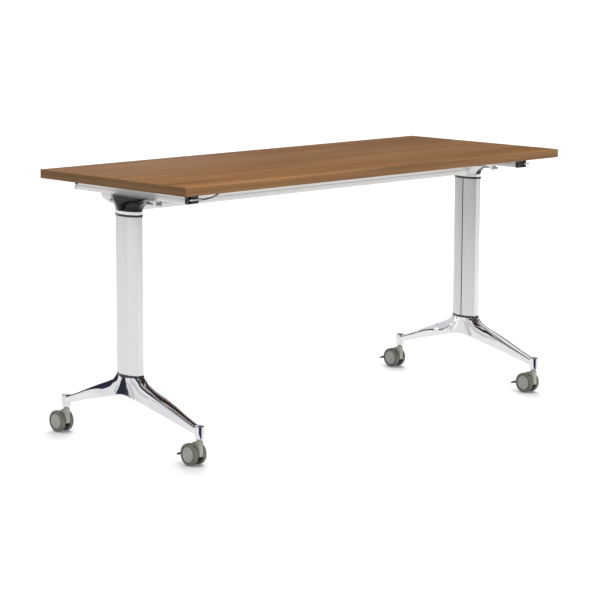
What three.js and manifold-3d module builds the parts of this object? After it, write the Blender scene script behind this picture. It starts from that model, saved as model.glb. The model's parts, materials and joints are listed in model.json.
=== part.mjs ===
// Flip top training table: a tilting worktop on two T legs with braked twin-wheel casters.
// Millimetres, +Z up, +X along the worktop, -Y towards the edge that lifts when the top is flipped.

import * as THREE from 'three';
import { mergeVertices } from 'three/addons/utils/BufferGeometryUtils.js';
import Module from 'manifold-3d';

// Worktop
const TOP_LENGTH = 1524;
const TOP_DEPTH = 610;
const TOP_THICKNESS = 25;
const TABLE_HEIGHT = 756;
const EDGE_BAND = 2;
const EDGE_ROUND = 1.2;
const CORNER_ROUND = 2.8;

// Fits between pieces
const SEAT = 0.3;
const RUNNING = 0.25;
const GLUE_LINE = 0.1;
const CUT_PAST = 2;

// Legs
const LEG_INSET = 67;
const LEG_SETBACK = 3;
const COLUMN_HALF_X = 22;
const COLUMN_HALF_Y = 45;
const COLUMN_FLAT_X = 10;
const COLUMN_FLAT_Y = 18;
const COLUMN_WALL = 3.5;
const COLUMN_GROOVE_WIDTH = 3.2;
const COLUMN_GROOVE_DEPTH = 2.4;
const GASKET_THICKNESS = 5.5;
const GASKET_LIP = 1.2;
const TIE_ROD_RADIUS = 5;
const TIE_HEAD_RADIUS = 9;
const TIE_HEAD_HEIGHT = 8;
const TIE_HEAD_RECESS = 1;
const TIE_ROD_COVER = 6;

// Casters
const WHEEL_RADIUS = 31;
const WHEEL_WIDTH = 14;
const WHEEL_SIDES = 24;
const TYRE_SHOULDER = 4;
const TYRE_CHAMFER = 2;
const DISC_RADIUS = 23.5;
const DISC_RECESS = 0.8;
const WHEEL_FLOOR = 3;
const AXLE_RADIUS = 3;
const FORK_WIDTH = 13;
const FORK_GAP = 1.5;
const CASTER_TRAIL = 24;
const CASTER_NECK_RADIUS = 7.2;
const CASTER_NECK_LENGTH = 13;
const STEM_RADIUS = 4;
const STEM_LENGTH = 42;
const STEM_IN_FORK = 16;
const STEM_COLLAR = 2;
const STEM_FLANGE = 0.8;
const FORK_NECK_STEP = 4;
const FORK_FRONT_DROP = 14;
const FORK_FRONT_ROUND = 4;
const FORK_EYE = 9;
const FORK_HOOD_INSET = 3;
const FORK_HOOD_FROM = 0.75;
const FORK_HOOD_TO = 1.9;
const CHEEK_ROOT = 4;
const CHEEK_RISE = 12;
const PEDAL_WIDTH = 9;
const PEDAL_REACH = 63;
const PEDAL_DROP = 11;
const PEDAL_THICKNESS = 4;
const PEDAL_PIVOT = 20;
const PEDAL_EYE = 5;
const PEDAL_PIN = 1.8;
const PEDAL_PIN_INSET = 0.5;
const PEDAL_ROOM = 1.2;
const PEDAL_BELLY = 16;
const PEDAL_CREST = 22;
const PEDAL_HEEL = 72;

// Feet
const CASTER_SPACING = 566;
const BOSS_RADIUS = 13;
const BOSS_HEIGHT = 36;
const BOSS_ROUND = 2;
const BOSS_CHAMFER = 1;
const FOOT_RISE = 130;
const FOOT_ARCH = 77;
const FOOT_BOSS_OVERLAP = 6;
const FOOT_ROOF = 0.985;
const FOOT_SHOULDER = 0.81;
const FOOT_BELLY = 0.5;
const FOOT_STEPS = 10;
const FOOT_FACET_TOP = 9;
const FOOT_FACET_SOLE = 44;
const FOOT_FACET_PROUD = 3.2;
// Share of the way from the hub to the toe, and drop of the ridge below the foot's top.
const FOOT_RIDGE = [[0, -4], [0.06, 11], [0.147, 21.5], [0.408, 44.7], [0.756, 77.5], [1, 98.5]];
// Share of the way from the column's middle to the toe, and drop of the sole below the arch.
const FOOT_SOLE = [[0, 0], [0.163, 6.8], [0.362, 19.5], [0.652, 39.6], [0.797, 50.6], [1, 64]];
// The same share, and what the arm's half width loses.
const FOOT_TAPER = [[0, 0], [0.167, 0.6], [0.362, 2.4], [0.507, 4.4], [0.652, 6.9], [0.797, 9.8], [1, 12.2]];

// Rails under the worktop
const RAIL_WIDTH = 42;
const RAIL_HEIGHT = 31;
const RAIL_LENGTH = 468;
const RAIL_WALL = 3;
const RAIL_ROUND = 3;
const RAIL_GROOVE_HEIGHT = 14;
const RAIL_GROOVE_WIDTH = 3;
const RAIL_GROOVE_DEPTH = 1.8;
const REAR_CAP_FLANGE = 3;
const REAR_CAP_PLUG = 14;
const REAR_CAP_SHOULDER = 9;

// Release levers, pull rods and latches
const HOUSING_FLANGE = 8;
const HOUSING_PLUG = 22;
const LEVER_PIVOT_BACK = 13;
const LEVER_PIVOT_DROP = 9;
const LEVER_PIN_RADIUS = 2;
const LEVER_EYE_WALL = 1.6;
const LEVER_ROOM = 1;
const LEVER_WIDTH = 8;
const LEVER_ARM = 16;
const LEVER_THICKNESS = 4;
const LEVER_SWING = 25;
const LEVER_BAR_HEIGHT = 11;
const LEVER_BAR_DEPTH = 5.2;
const LEVER_BAR_THICKNESS = 4;
const LEVER_BAR_FALL = 3;
const LEVER_BAR_OVERHANG = 8;
const LATCH_RADIUS = 3;
const LATCH_INBOARD = 6.5;
const LATCH_DROP = 11.7;
const LATCH_ENGAGEMENT = 5;
const LATCH_ROOM = 1.5;
const LATCH_HEAD_RADIUS = 4.5;
const LATCH_HEAD_LENGTH = 4;
const LATCH_TAIL = 14;
const LATCH_TAB = 5;
const LATCH_TAB_ABOVE = 2;
const PULL_ROD_RADIUS = 1.5;
const PULL_ROD_INBOARD = 11;
const PULL_ROD_CLEAR = 0.6;

// Tilt brackets, pivots and heads
const PIVOT_BACK = 75;
const PIVOT_DROP = 15.7;
const PIVOT_RADIUS = 3.5;
const PIVOT_OVERHANG = 5;
const BRACKET_FRONT = 111;
const BRACKET_REAR = 118;
const BRACKET_PLATE = 4;
const BRACKET_WALL = 4;
const BRACKET_EYE = 10;
const HOOK_LENGTH = 18.7;
const HOOK_WIDTH = 11;
const HOOK_DROP = 20;
const HOOK_NOSE = 4.4;
const HOOK_FILLET = 6;
const BRACKET_SIDE = 1;
const BRACKET_ROOT = 16;
const BRACKET_TAIL = 12;
const BRACKET_TAIL_DROP = 6;
const PIVOT_CHAMFER = 0.8;
const HEAD_LUG_RADIUS = 9.2;
const HEAD_LUG_INSET = 8;
const HEAD_LUG_ROOT = 20;
const HEAD_LUG_BASE = 4;
const HEAD_LUG_NECK = 12;
const HEAD_LUG_SINK = 1;
const HEAD_COLLAR_LIP = 0.4;
const HEAD_COLLAR = 8.2;
const HEAD_TOP_DROP = 9.7;
const COVER_RISE = 41;
const COVER_TOP_LIFT = 3.3;
const COVER_WALL = 3;
const COVER_NOSE = 116;
const COVER_REAR = 62;
const COVER_SIDE_FLARE = 4.5;
const COVER_CURVE = 2.2;
const COVER_SHOULDER = 1.25;
const COVER_REAR_RISE = 28.7;
const COVER_REAR_CURVE = 1.5;
const COVER_STEPS = 8;
const COVER_INNER_EDGE = 1.5;
const COVER_FRONT_EDGE = 10.3;

// Crossbeam between the heads
const BEAM_WIDTH = 40;
const BEAM_HEIGHT = 28;
const BEAM_WALL = 3;
const BEAM_DROP = 37;
const BEAM_GROOVE_HEIGHT = 16;
const BEAM_GROOVE_WIDTH = 4;
const BEAM_GROOVE_DEPTH = 1.8;
const BEAM_SHOULDER = 28;
const BEAM_SPIGOT = 40;

// Synchronising cable
const CABLE_RADIUS = 2;
const CABLE_SIDES = 8;
const CABLE_STEPS = 52;
const CLIP_WIDTH = 10;
const CLIP_LENGTH = 16;
const CLIP_WALL = 2;

// Facets of round work
const ROUND_SIDES = 16;
const ROD_SIDES = 12;
const CURVE_STEPS = 3;
const CORNER_STEPS = 3;
const ARCH_STEPS = 40;
const EDGE_STEPS = 2;

// Places that follow from the sizes above
const legX = TOP_LENGTH / 2 - LEG_INSET;
const topUnder = TABLE_HEIGHT - TOP_THICKNESS;
const railTop = topUnder - SEAT;
const railBottom = railTop - RAIL_HEIGHT;
const pivotZ = railBottom - PIVOT_DROP;
const headTop = railBottom - HEAD_TOP_DROP;
const coverTop = railBottom + COVER_TOP_LIFT;
const collarTop = coverTop - COVER_RISE;
const collarBottom = collarTop - HEAD_COLLAR;
const topGasketBottom = collarBottom - SEAT - GASKET_THICKNESS;
const columnTop = topGasketBottom - SEAT;
const axleZ = WHEEL_RADIUS * Math.cos(Math.PI / WHEEL_SIDES);
const bossBottom = 2 * WHEEL_RADIUS + CASTER_NECK_LENGTH;
const footTop = bossBottom + FOOT_RISE;
const footGasketBottom = footTop + SEAT;
const columnBottom = footGasketBottom + GASKET_THICKNESS + SEAT;
const tieRodBottom = bossBottom + FOOT_ARCH + TIE_HEAD_RECESS;
const tieRodTop = headTop - TIE_ROD_COVER;
const beamBottom = railBottom - BEAM_DROP;
const beamTop = beamBottom + BEAM_HEIGHT;
const railFront = -RAIL_LENGTH / 2;
const railRear = RAIL_LENGTH / 2;
const leverPivotY = railFront + LEVER_PIVOT_BACK;
const leverPivotZ = railTop - LEVER_PIVOT_DROP;
const pullRodZ = leverPivotZ - LEVER_ARM;
const latchZ = railBottom - LATCH_DROP;
const latchTravel = LEVER_ARM * Math.sin(THREE.MathUtils.degToRad(LEVER_SWING));
const stemY = CASTER_SPACING / 2;
const pedalTipY = CASTER_TRAIL + PEDAL_REACH;
const rearReach = LEG_SETBACK + stemY + pedalTipY;
const frameCentreY = (rearReach - TOP_DEPTH / 2) / 2;

const wasm = await Module();
wasm.setup();

const AXIS_X = new THREE.Vector3(1, 0, 0);
const AXIS_Y = new THREE.Vector3(0, 1, 0);
const AXIS_Z = new THREE.Vector3(0, 0, 1);

function metal(color, roughness) {
  return new THREE.MeshStandardMaterial({ color, roughness, metalness: 0.9 });
}

function plastic(color, roughness) {
  return new THREE.MeshStandardMaterial({ color, roughness, metalness: 0 });
}

const MATERIALS = {
  laminate: plastic(0x936c4c, 0.5),
  edging: plastic(0x8a6646, 0.5),
  aluminium: metal(0xd6d6d3, 0.35),
  polished: metal(0xe6e6e6, 0.08),
  steel: metal(0xa8a8a8, 0.3),
  blackened: metal(0x30302f, 0.4),
  black: plastic(0x1c1c1c, 0.3),
  gasket: plastic(0x202020, 0.6),
  casterBody: plastic(0x9a9a95, 0.5),
  casterWheel: plastic(0x86867f, 0.6),
  lever: metal(0xc4c4c0, 0.3),
};

// Solids

function signedVolume(geometry) {
  const p = geometry.attributes.position;
  const index = geometry.index;
  const count = index ? index.count : p.count;
  const corner = [new THREE.Vector3(), new THREE.Vector3(), new THREE.Vector3()];
  let volume = 0;
  for (let i = 0; i < count; i += 3) {
    corner.forEach((v, k) => v.fromBufferAttribute(p, index ? index.getX(i + k) : i + k));
    volume += corner[0].dot(corner[1].clone().cross(corner[2])) / 6;
  }
  return volume;
}

// Keeps positions only, with shared vertices merged and every face pointing out.
function closed(geometry) {
  const bare = geometry.clone();
  bare.deleteAttribute('normal');
  bare.deleteAttribute('uv');
  const merged = mergeVertices(bare, 1e-4);
  if (signedVolume(merged) < 0) {
    const index = Array.from(merged.index.array);
    for (let i = 0; i < index.length; i += 3) {
      [index[i], index[i + 1]] = [index[i + 1], index[i]];
    }
    merged.setIndex(index);
  }
  return merged;
}

function toSolid(geometry) {
  const bare = closed(geometry);
  const vertProperties = new Float32Array(bare.attributes.position.array);
  const triVerts = new Uint32Array(bare.index.array);
  return new wasm.Manifold(new wasm.Mesh({ numProp: 3, vertProperties, triVerts }));
}

function toGeometry(solid) {
  const { vertProperties, triVerts } = solid.getMesh();
  const geometry = new THREE.BufferGeometry();
  geometry.setAttribute('position', new THREE.BufferAttribute(new Float32Array(vertProperties), 3));
  geometry.setIndex(Array.from(triVerts));
  return geometry;
}

function join(...geometries) {
  return toGeometry(geometries.map(toSolid).reduce((sum, solid) => sum.add(solid)));
}

function cut(body, ...tools) {
  return toGeometry(tools.map(toSolid).reduce((rest, tool) => rest.subtract(tool), toSolid(body)));
}

function common(first, second) {
  return toGeometry(toSolid(first).intersect(toSolid(second)));
}

function mirrorX(geometry) {
  return closed(geometry.clone().scale(-1, 1, 1));
}

// Outlines

function shape(points) {
  return new THREE.Shape(points.map(([a, b]) => new THREE.Vector2(a, b)));
}

function rectangle(a0, b0, a1, b1) {
  return shape([[a0, b0], [a1, b0], [a1, b1], [a0, b1]]);
}

function roundedRectangle(a0, b0, a1, b1, radius) {
  const outline = new THREE.Shape();
  outline.moveTo(a0 + radius, b0);
  outline.lineTo(a1 - radius, b0);
  outline.absarc(a1 - radius, b0 + radius, radius, -Math.PI / 2, 0);
  outline.lineTo(a1, b1 - radius);
  outline.absarc(a1 - radius, b1 - radius, radius, 0, Math.PI / 2);
  outline.lineTo(a0 + radius, b1);
  outline.absarc(a0 + radius, b1 - radius, radius, Math.PI / 2, Math.PI);
  outline.lineTo(a0, b0 + radius);
  outline.absarc(a0 + radius, b0 + radius, radius, Math.PI, Math.PI * 1.5);
  return outline;
}

// The column's long octagon, drawn in by a wall measured square to each side.
function columnOutline(inset) {
  const rise = COLUMN_HALF_Y - COLUMN_FLAT_Y;
  const run = COLUMN_HALF_X - COLUMN_FLAT_X;
  const length = Math.hypot(rise, run);
  const reach = (rise * COLUMN_HALF_X + run * COLUMN_FLAT_Y) / length - inset;
  const halfX = COLUMN_HALF_X - inset;
  const halfY = COLUMN_HALF_Y - inset;
  const flatY = (reach * length - rise * halfX) / run;
  const flatX = (reach * length - run * halfY) / rise;
  return { halfX, halfY, flatX, flatY };
}

function octagonPoints({ halfX, halfY, flatX, flatY }) {
  return [
    [halfX, flatY], [flatX, halfY], [-flatX, halfY], [-halfX, flatY],
    [-halfX, -flatY], [-flatX, -halfY], [flatX, -halfY], [halfX, -flatY],
  ];
}

function octagon(inset) {
  return shape(octagonPoints(columnOutline(inset)));
}

// Solid forms

// Drops the point that an arc and the line after it have in common.
function withoutRepeats(points) {
  return points.filter((point, i) => point.distanceTo(points[(i + 1) % points.length]) > 1e-3);
}

function extrude(outline, depth) {
  const rim = withoutRepeats(outline.getPoints(CURVE_STEPS));
  return new THREE.ExtrudeGeometry(new THREE.Shape(rim), { depth, bevelEnabled: false });
}

// Outline in (Y, Z), pulled along X.
function alongX(outline, from, to) {
  const turn = new THREE.Matrix4().makeBasis(AXIS_Y, AXIS_Z, AXIS_X);
  return extrude(outline, to - from).applyMatrix4(turn).translate(from, 0, 0);
}

// Outline in (X, Z), pulled along Y.
function alongY(outline, from, to) {
  const turn = new THREE.Matrix4().makeBasis(AXIS_X, AXIS_Z, AXIS_Y.clone().negate());
  return extrude(outline, to - from).applyMatrix4(turn).translate(0, to, 0);
}

// Outline in (X, Y), pulled along Z.
function alongZ(outline, from, to) {
  return extrude(outline, to - from).translate(0, 0, from);
}

// A tube open at both ends: an outline and its bore, both pulled by one of the three functions above.
function tube(pull, outline, bore, from, to) {
  return cut(pull(outline, from, to), pull(bore, from - 1, to + 1));
}

function circle(a, b, radius) {
  return new THREE.Shape().absarc(a, b, radius, 0, 2 * Math.PI);
}

function block(x0, x1, y0, y1, z0, z1) {
  return alongZ(rectangle(x0, y0, x1, y1), z0, z1);
}

// Profile in (radius, height), turned about the Z axis.
function turned(profile, sides) {
  const points = profile.map(([radius, height]) => new THREE.Vector2(radius, height));
  return new THREE.LatheGeometry(points, sides).rotateX(Math.PI / 2);
}

function cylinderZ(radius, from, to, sides = ROUND_SIDES) {
  return turned([[0, from], [radius, from], [radius, to], [0, to]], sides);
}

function cylinderX(radius, from, to, sides = ROUND_SIDES) {
  return cylinderZ(radius, from, to, sides).rotateY(Math.PI / 2);
}

function cylinderY(radius, from, to, sides = ROUND_SIDES) {
  return cylinderZ(radius, from, to, sides).rotateX(-Math.PI / 2);
}

// Skins a row of equal rings of points and closes both ends.
function loft(rings) {
  const size = rings[0].length;
  const index = [];
  for (let r = 0; r + 1 < rings.length; r += 1) {
    for (let i = 0; i < size; i += 1) {
      const j = (i + 1) % size;
      const near = r * size;
      const far = near + size;
      index.push(near + i, near + j, far + j, near + i, far + j, far + i);
    }
  }
  const last = (rings.length - 1) * size;
  for (let i = 1; i + 1 < size; i += 1) {
    index.push(0, i + 1, i, last, last + i, last + i + 1);
  }
  const geometry = new THREE.BufferGeometry();
  const numbers = rings.flat().flatMap((point) => [point.x, point.y, point.z]);
  geometry.setAttribute('position', new THREE.Float32BufferAttribute(numbers, 3));
  geometry.setIndex(index);
  return geometry;
}

// Groups

const table = new THREE.Group();
table.position.y = -frameCentreY;

function addPiece(parent, name, geometry, material) {
  const mesh = new THREE.Mesh(closed(geometry), material);
  mesh.name = name;
  parent.add(mesh);
  return mesh;
}

// A leg's pieces are drawn with +X pointing inboard, so the right leg takes their mirror image.
const sides = ['left', 'right'].map((name) => {
  const group = new THREE.Group();
  const right = name === 'right';
  group.position.set(right ? legX : -legX, LEG_SETBACK, 0);
  table.add(group);
  return { name, group, right };
});

function addPair(name, geometry, material) {
  for (const side of sides) {
    const own = side.right ? mirrorX(geometry) : geometry;
    addPiece(side.group, `${side.name}_${name}`, own, material);
  }
}

// Worktop: a board with a thin band glued round its edge

function worktopBoard() {
  const halfX = TOP_LENGTH / 2 - EDGE_BAND - GLUE_LINE;
  const halfY = TOP_DEPTH / 2 - EDGE_BAND - GLUE_LINE;
  const outline = roundedRectangle(-halfX, -halfY, halfX, halfY, CORNER_ROUND - EDGE_BAND);
  return alongZ(outline, topUnder, TABLE_HEIGHT);
}

// The band's section is carried round a rectangle with rounded corners.
function edgeBand() {
  const section = [[-EDGE_BAND, topUnder]];
  for (let step = 0; step <= EDGE_STEPS; step += 1) {
    const angle = (step / EDGE_STEPS) * (Math.PI / 2);
    const out = EDGE_ROUND * (Math.sin(angle) - 1);
    section.push([out, topUnder + EDGE_ROUND * (1 - Math.cos(angle))]);
  }
  for (let step = 0; step <= EDGE_STEPS; step += 1) {
    const angle = (step / EDGE_STEPS) * (Math.PI / 2);
    const out = EDGE_ROUND * (Math.cos(angle) - 1);
    section.push([out, TABLE_HEIGHT - EDGE_ROUND * (1 - Math.sin(angle))]);
  }
  section.push([-EDGE_BAND, TABLE_HEIGHT]);
  const rings = [];
  const corners = [[1, 1], [-1, 1], [-1, -1], [1, -1]];
  corners.forEach(([sx, sy], corner) => {
    const cx = sx * (TOP_LENGTH / 2 - CORNER_ROUND);
    const cy = sy * (TOP_DEPTH / 2 - CORNER_ROUND);
    for (let step = 0; step <= CORNER_STEPS; step += 1) {
      const angle = (corner + step / CORNER_STEPS) * (Math.PI / 2);
      rings.push(section.map(([out, z]) => {
        const radius = CORNER_ROUND + out;
        return new THREE.Vector3(cx + radius * Math.cos(angle), cy + radius * Math.sin(angle), z);
      }));
    }
  });
  return ringLoft(rings);
}

// A loft whose last ring runs back into its first.
function ringLoft(rings) {
  const size = rings[0].length;
  const index = [];
  for (let r = 0; r < rings.length; r += 1) {
    const near = r * size;
    const far = ((r + 1) % rings.length) * size;
    for (let i = 0; i < size; i += 1) {
      const j = (i + 1) % size;
      index.push(near + i, near + j, far + j, near + i, far + j, far + i);
    }
  }
  const geometry = new THREE.BufferGeometry();
  const numbers = rings.flat().flatMap((point) => [point.x, point.y, point.z]);
  geometry.setAttribute('position', new THREE.Float32BufferAttribute(numbers, 3));
  geometry.setIndex(index);
  return geometry;
}

addPiece(table, 'worktop', worktopBoard(), MATERIALS.laminate);
addPiece(table, 'edge_band', edgeBand(), MATERIALS.edging);

// Columns, their gaskets and the tie rods that clamp foot, column and head together

function column() {
  const post = tube(alongZ, octagon(0), octagon(COLUMN_WALL), columnBottom, columnTop);
  const half = COLUMN_GROOVE_WIDTH / 2;
  const bottom = COLUMN_HALF_X - COLUMN_GROOVE_DEPTH;
  const past = COLUMN_HALF_X + 1;
  return cut(post, block(bottom, past, -half, half, columnBottom - 1, columnTop + 1));
}

function gasket(from) {
  const to = from + GASKET_THICKNESS;
  const ring = alongZ(octagon(-GASKET_LIP), from, to);
  return cut(ring, cylinderZ(TIE_ROD_RADIUS + SEAT, from - 1, to + 1));
}

function tieRod() {
  const headTopZ = tieRodBottom + TIE_HEAD_HEIGHT;
  return turned([
    [0, tieRodBottom], [TIE_HEAD_RADIUS, tieRodBottom], [TIE_HEAD_RADIUS, headTopZ],
    [TIE_ROD_RADIUS, headTopZ], [TIE_ROD_RADIUS, tieRodTop], [0, tieRodTop],
  ], ROUND_SIDES);
}

function tieRodHole() {
  const headTopZ = tieRodBottom + TIE_HEAD_HEIGHT + SEAT;
  const below = tieRodBottom - FOOT_ARCH;
  const end = tieRodTop + SEAT;
  const wide = TIE_HEAD_RADIUS + SEAT;
  const narrow = TIE_ROD_RADIUS + SEAT;
  return turned([
    [0, below], [wide, below], [wide, headTopZ], [narrow, headTopZ], [narrow, end], [0, end],
  ], ROUND_SIDES);
}

addPair('column', column(), MATERIALS.aluminium);
addPair('head_gasket', gasket(topGasketBottom), MATERIALS.gasket);
addPair('foot_gasket', gasket(footGasketBottom), MATERIALS.gasket);
addPair('tie_rod', tieRod(), MATERIALS.steel);

// Feet: a hub that takes the column's octagon and flows into two arched arms over the caster bosses

function mix(from, to, t) {
  return from + (to - from) * t;
}

// A smooth line through (share of the reach, height) pairs.
function profile(pairs) {
  const points = pairs.map(([share, height]) => new THREE.Vector2(share, height));
  return new THREE.SplineCurve(points).getPoints(ARCH_STEPS);
}

function heightAt(points, share) {
  const next = Math.max(1, points.findIndex((point) => point.x >= share));
  const [a, b] = [points[next - 1], points[next]];
  return mix(a.y, b.y, (share - a.x) / (b.x - a.x));
}

const footHub = columnOutline(-GASKET_LIP);
const footToe = stemY - BOSS_RADIUS + FOOT_BOSS_OVERLAP;
const footArch = bossBottom + FOOT_ARCH;
const footRidge = profile(FOOT_RIDGE);
const footSole = profile(FOOT_SOLE);
const footTaper = profile(FOOT_TAPER);

// How far up its vaulted section the arm goes before it is cut off level, and the height of the whole vault.
function footVault(reach, half, sole) {
  const rise = footTop - sole;
  if (reach <= footHub.halfY) {
    const past = Math.max(0, reach - footHub.flatY) / (footHub.halfY - footHub.flatY);
    const topHalf = Math.min(mix(footHub.halfX, footHub.flatX, past), half - SEAT);
    const roof = (1 - (topHalf / half) ** 2) ** 0.25;
    return { roof, height: rise / roof };
  }
  const share = (reach - footHub.halfY) / (footToe - footHub.halfY);
  const height = rise - heightAt(footRidge, share);
  return { roof: Math.min(FOOT_ROOF, rise / height), height };
}

// The hub's outer side is a facet that widens downwards.
function footFacet(x, z, reach) {
  const down = Math.min(1, (footTop - z) / (footTop - footArch));
  const inside = reach < mix(FOOT_FACET_TOP, FOOT_FACET_SOLE, down);
  return inside ? Math.max(x, footHub.halfX + FOOT_FACET_PROUD * down) : x;
}

// Eight corners round the arm: roof, shoulder, belly and sole on either side.
function footSection(reach, sign) {
  const share = reach / footToe;
  const sole = footArch - heightAt(footSole, share);
  const hubHalf = reach < footHub.flatY ? footHub.halfX + SEAT : 0;
  const half = Math.max(hubHalf, footHub.halfX - heightAt(footTaper, share));
  const { roof, height } = footVault(reach, half, sole);
  const side = [1, FOOT_SHOULDER, FOOT_BELLY, 0].map((level) => {
    const up = level * roof;
    const z = sole + up * height;
    return [footFacet(half * Math.sqrt(1 - up ** 4), z, reach), z];
  });
  const other = side.map(([x, z]) => [-x, z]).reverse();
  return [...side, ...other].map(([x, z]) => new THREE.Vector3(x, reach * sign, z));
}

function footArms() {
  const { flatY, halfY } = footHub;
  const reaches = [FOOT_FACET_TOP, flatY, (flatY + halfY) / 2, halfY];
  for (let step = 1; step <= FOOT_STEPS; step += 1) {
    const t = step / FOOT_STEPS;
    reaches.push(mix(halfY, footToe, (t * (1 + t)) / 2));
  }
  const back = reaches.map((reach) => footSection(reach, 1));
  const front = reaches.map((reach) => footSection(reach, -1)).reverse();
  return loft([...front, footSection(0, 1), ...back]);
}

function footBoss(y) {
  const top = bossBottom + BOSS_HEIGHT;
  return turned([
    [0, bossBottom], [BOSS_RADIUS - BOSS_CHAMFER, bossBottom], [BOSS_RADIUS, bossBottom + BOSS_CHAMFER],
    [BOSS_RADIUS, top - BOSS_ROUND], [BOSS_RADIUS - BOSS_ROUND, top], [0, top],
  ], ROUND_SIDES).translate(0, y, 0);
}

function foot() {
  const ends = [-stemY, stemY];
  const stemTop = bossBottom + STEM_LENGTH - STEM_IN_FORK + SEAT;
  const stemHole = (y) => {
    return cylinderZ(STEM_RADIUS + SEAT, bossBottom - 1, stemTop, ROD_SIDES).translate(0, y, 0);
  };
  const body = join(footArms(), ...ends.map(footBoss));
  return cut(body, tieRodHole(), ...ends.map(stemHole));
}

addPair('foot', foot(), MATERIALS.polished);

// Heads: a casting on each column with a flared black cover on its outer side

function headFlare(z) {
  return THREE.MathUtils.clamp((z - collarTop) / COVER_RISE, 0, 1) ** COVER_CURVE;
}

// How far the head reaches in front of the column's centre at a given height.
function headNose(z, inset) {
  return COLUMN_HALF_Y - inset + (COVER_NOSE - COLUMN_HALF_Y) * headFlare(z);
}

function headSection(z, inset) {
  const flare = headFlare(z);
  const rise = THREE.MathUtils.clamp((z - collarTop) / COVER_REAR_RISE, 0, 1);
  const rearReach = (COVER_REAR - COLUMN_HALF_Y) * rise ** COVER_REAR_CURVE;
  const base = columnOutline(inset);
  const side = base.halfX + COVER_SIDE_FLARE * flare;
  const nose = headNose(z, inset);
  const noseFlat = base.flatY + (COVER_NOSE - COLUMN_HALF_Y) * COVER_SHOULDER * flare;
  const rear = base.halfY + rearReach;
  const rearFlat = base.flatY + rearReach;
  return [
    [side, rearFlat], [base.flatX, rear], [-base.flatX, rear], [-side, rearFlat],
    [-side, -noseFlat], [-base.flatX, -nose], [base.flatX, -nose], [side, -noseFlat],
  ].map(([x, y]) => new THREE.Vector3(x, y, z));
}

// Every inset is skinned over the same levels, so that walls and gaps stay even, and then trimmed.
function headLoft(from, to, inset) {
  const levels = [collarTop - CUT_PAST];
  for (let step = 0; step <= COVER_STEPS; step += 1) {
    levels.push(collarTop + (COVER_RISE * step) / COVER_STEPS);
  }
  levels.push(coverTop + CUT_PAST);
  const wide = 2 * COVER_NOSE;
  const slab = block(-wide, wide, -wide, wide, from, to);
  return common(loft(levels.map((z) => headSection(z, inset))), slab);
}

// Where the latch bolt's tip stops inside the head's front.
const latchTip = LATCH_ENGAGEMENT - headNose(latchZ, COVER_WALL + SEAT);

// The space that the black cover takes up: the outer half, and the front round to its inner corner.
function coverZone(gap) {
  const wide = 2 * COVER_NOSE;
  const low = collarTop - CUT_PAST;
  const high = coverTop + CUT_PAST;
  const frontBack = -COLUMN_HALF_Y / 2 + gap;
  const slotEdge = LATCH_INBOARD - LATCH_RADIUS - LATCH_ROOM + gap;
  const slotFloor = latchZ - LATCH_RADIUS - LATCH_ROOM + gap;
  const outer = block(-wide, -COVER_INNER_EDGE + gap, -wide, wide, low, high);
  const front = block(-wide, COVER_FRONT_EDGE + gap, -wide, frontBack, low, headTop + CUT_PAST);
  const slot = block(slotEdge, wide, -wide, 0, slotFloor, high + CUT_PAST);
  return cut(join(outer, front), slot);
}

function headCover() {
  const floor = collarTop + SEAT;
  const shell = cut(headLoft(floor, coverTop, 0), headLoft(floor - 1, coverTop + 1, COVER_WALL));
  return common(shell, coverZone(0));
}

// The lug that reaches back between the bracket's walls to the pivot.
function headLug() {
  const top = headTop - HEAD_LUG_SINK;
  const base = collarTop + HEAD_LUG_BASE;
  const lug = new THREE.Shape();
  lug.moveTo(HEAD_LUG_ROOT, top);
  lug.lineTo(HEAD_LUG_ROOT, base);
  lug.lineTo(COLUMN_HALF_Y, base);
  lug.absarc(PIVOT_BACK, pivotZ, HEAD_LUG_RADIUS, -Math.PI / 2, Math.PI / 2);
  lug.lineTo(PIVOT_BACK - HEAD_LUG_NECK, top);
  return alongX(lug, HEAD_LUG_INSET, RAIL_WIDTH - HEAD_LUG_INSET);
}

// A shoulder that meets the crossbeam's end, and a spigot that fills its bore.
function headSpigot() {
  const half = BEAM_WIDTH / 2;
  const shoulderTop = Math.min(beamTop, headTop);
  const shoulder = block(0, BEAM_SHOULDER - SEAT, -half, half, beamBottom, shoulderTop);
  const inset = BEAM_WALL + SEAT;
  const spigotHalf = half - inset - BEAM_GROOVE_DEPTH;
  const end = BEAM_SHOULDER + BEAM_SPIGOT;
  return join(shoulder, block(0, end, -spigotHalf, spigotHalf, beamBottom + inset, beamTop - inset));
}

function headCasting() {
  const collar = alongZ(octagon(-HEAD_COLLAR_LIP), collarBottom, collarTop);
  const skin = cut(headLoft(collarTop, headTop, 0), coverZone(SEAT));
  const core = headLoft(collarTop, headTop, COVER_WALL + SEAT);
  const solid = join(collar, skin, core, headLug(), headSpigot());
  const pinHole = cylinderX(PIVOT_RADIUS + RUNNING, -RAIL_WIDTH, 2 * RAIL_WIDTH);
  pinHole.translate(0, PIVOT_BACK, pivotZ);
  const slotHalf = LATCH_RADIUS + LATCH_ROOM;
  const slotFloor = latchZ - slotHalf;
  const slotBack = latchTip + LATCH_ROOM;
  const left = LATCH_INBOARD - slotHalf;
  const right = LATCH_INBOARD + slotHalf;
  const slot = block(left, right, -COVER_NOSE, slotBack, slotFloor, coverTop);
  return cut(solid, pinHole, slot, tieRodHole());
}

addPair('head', headCasting(), MATERIALS.aluminium);
addPair('head_cover', headCover(), MATERIALS.black);

// Crossbeam: a hollow extrusion with a groove in its front and back faces

function grooved(halfA, b0, b1, grooveB, width, depth) {
  const low = grooveB - width / 2;
  const high = grooveB + width / 2;
  const bottom = halfA - depth;
  return shape([
    [-halfA, b0], [halfA, b0], [halfA, low], [bottom, low], [bottom, high], [halfA, high], [halfA, b1],
    [-halfA, b1], [-halfA, high], [-bottom, high], [-bottom, low], [-halfA, low],
  ]);
}

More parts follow.
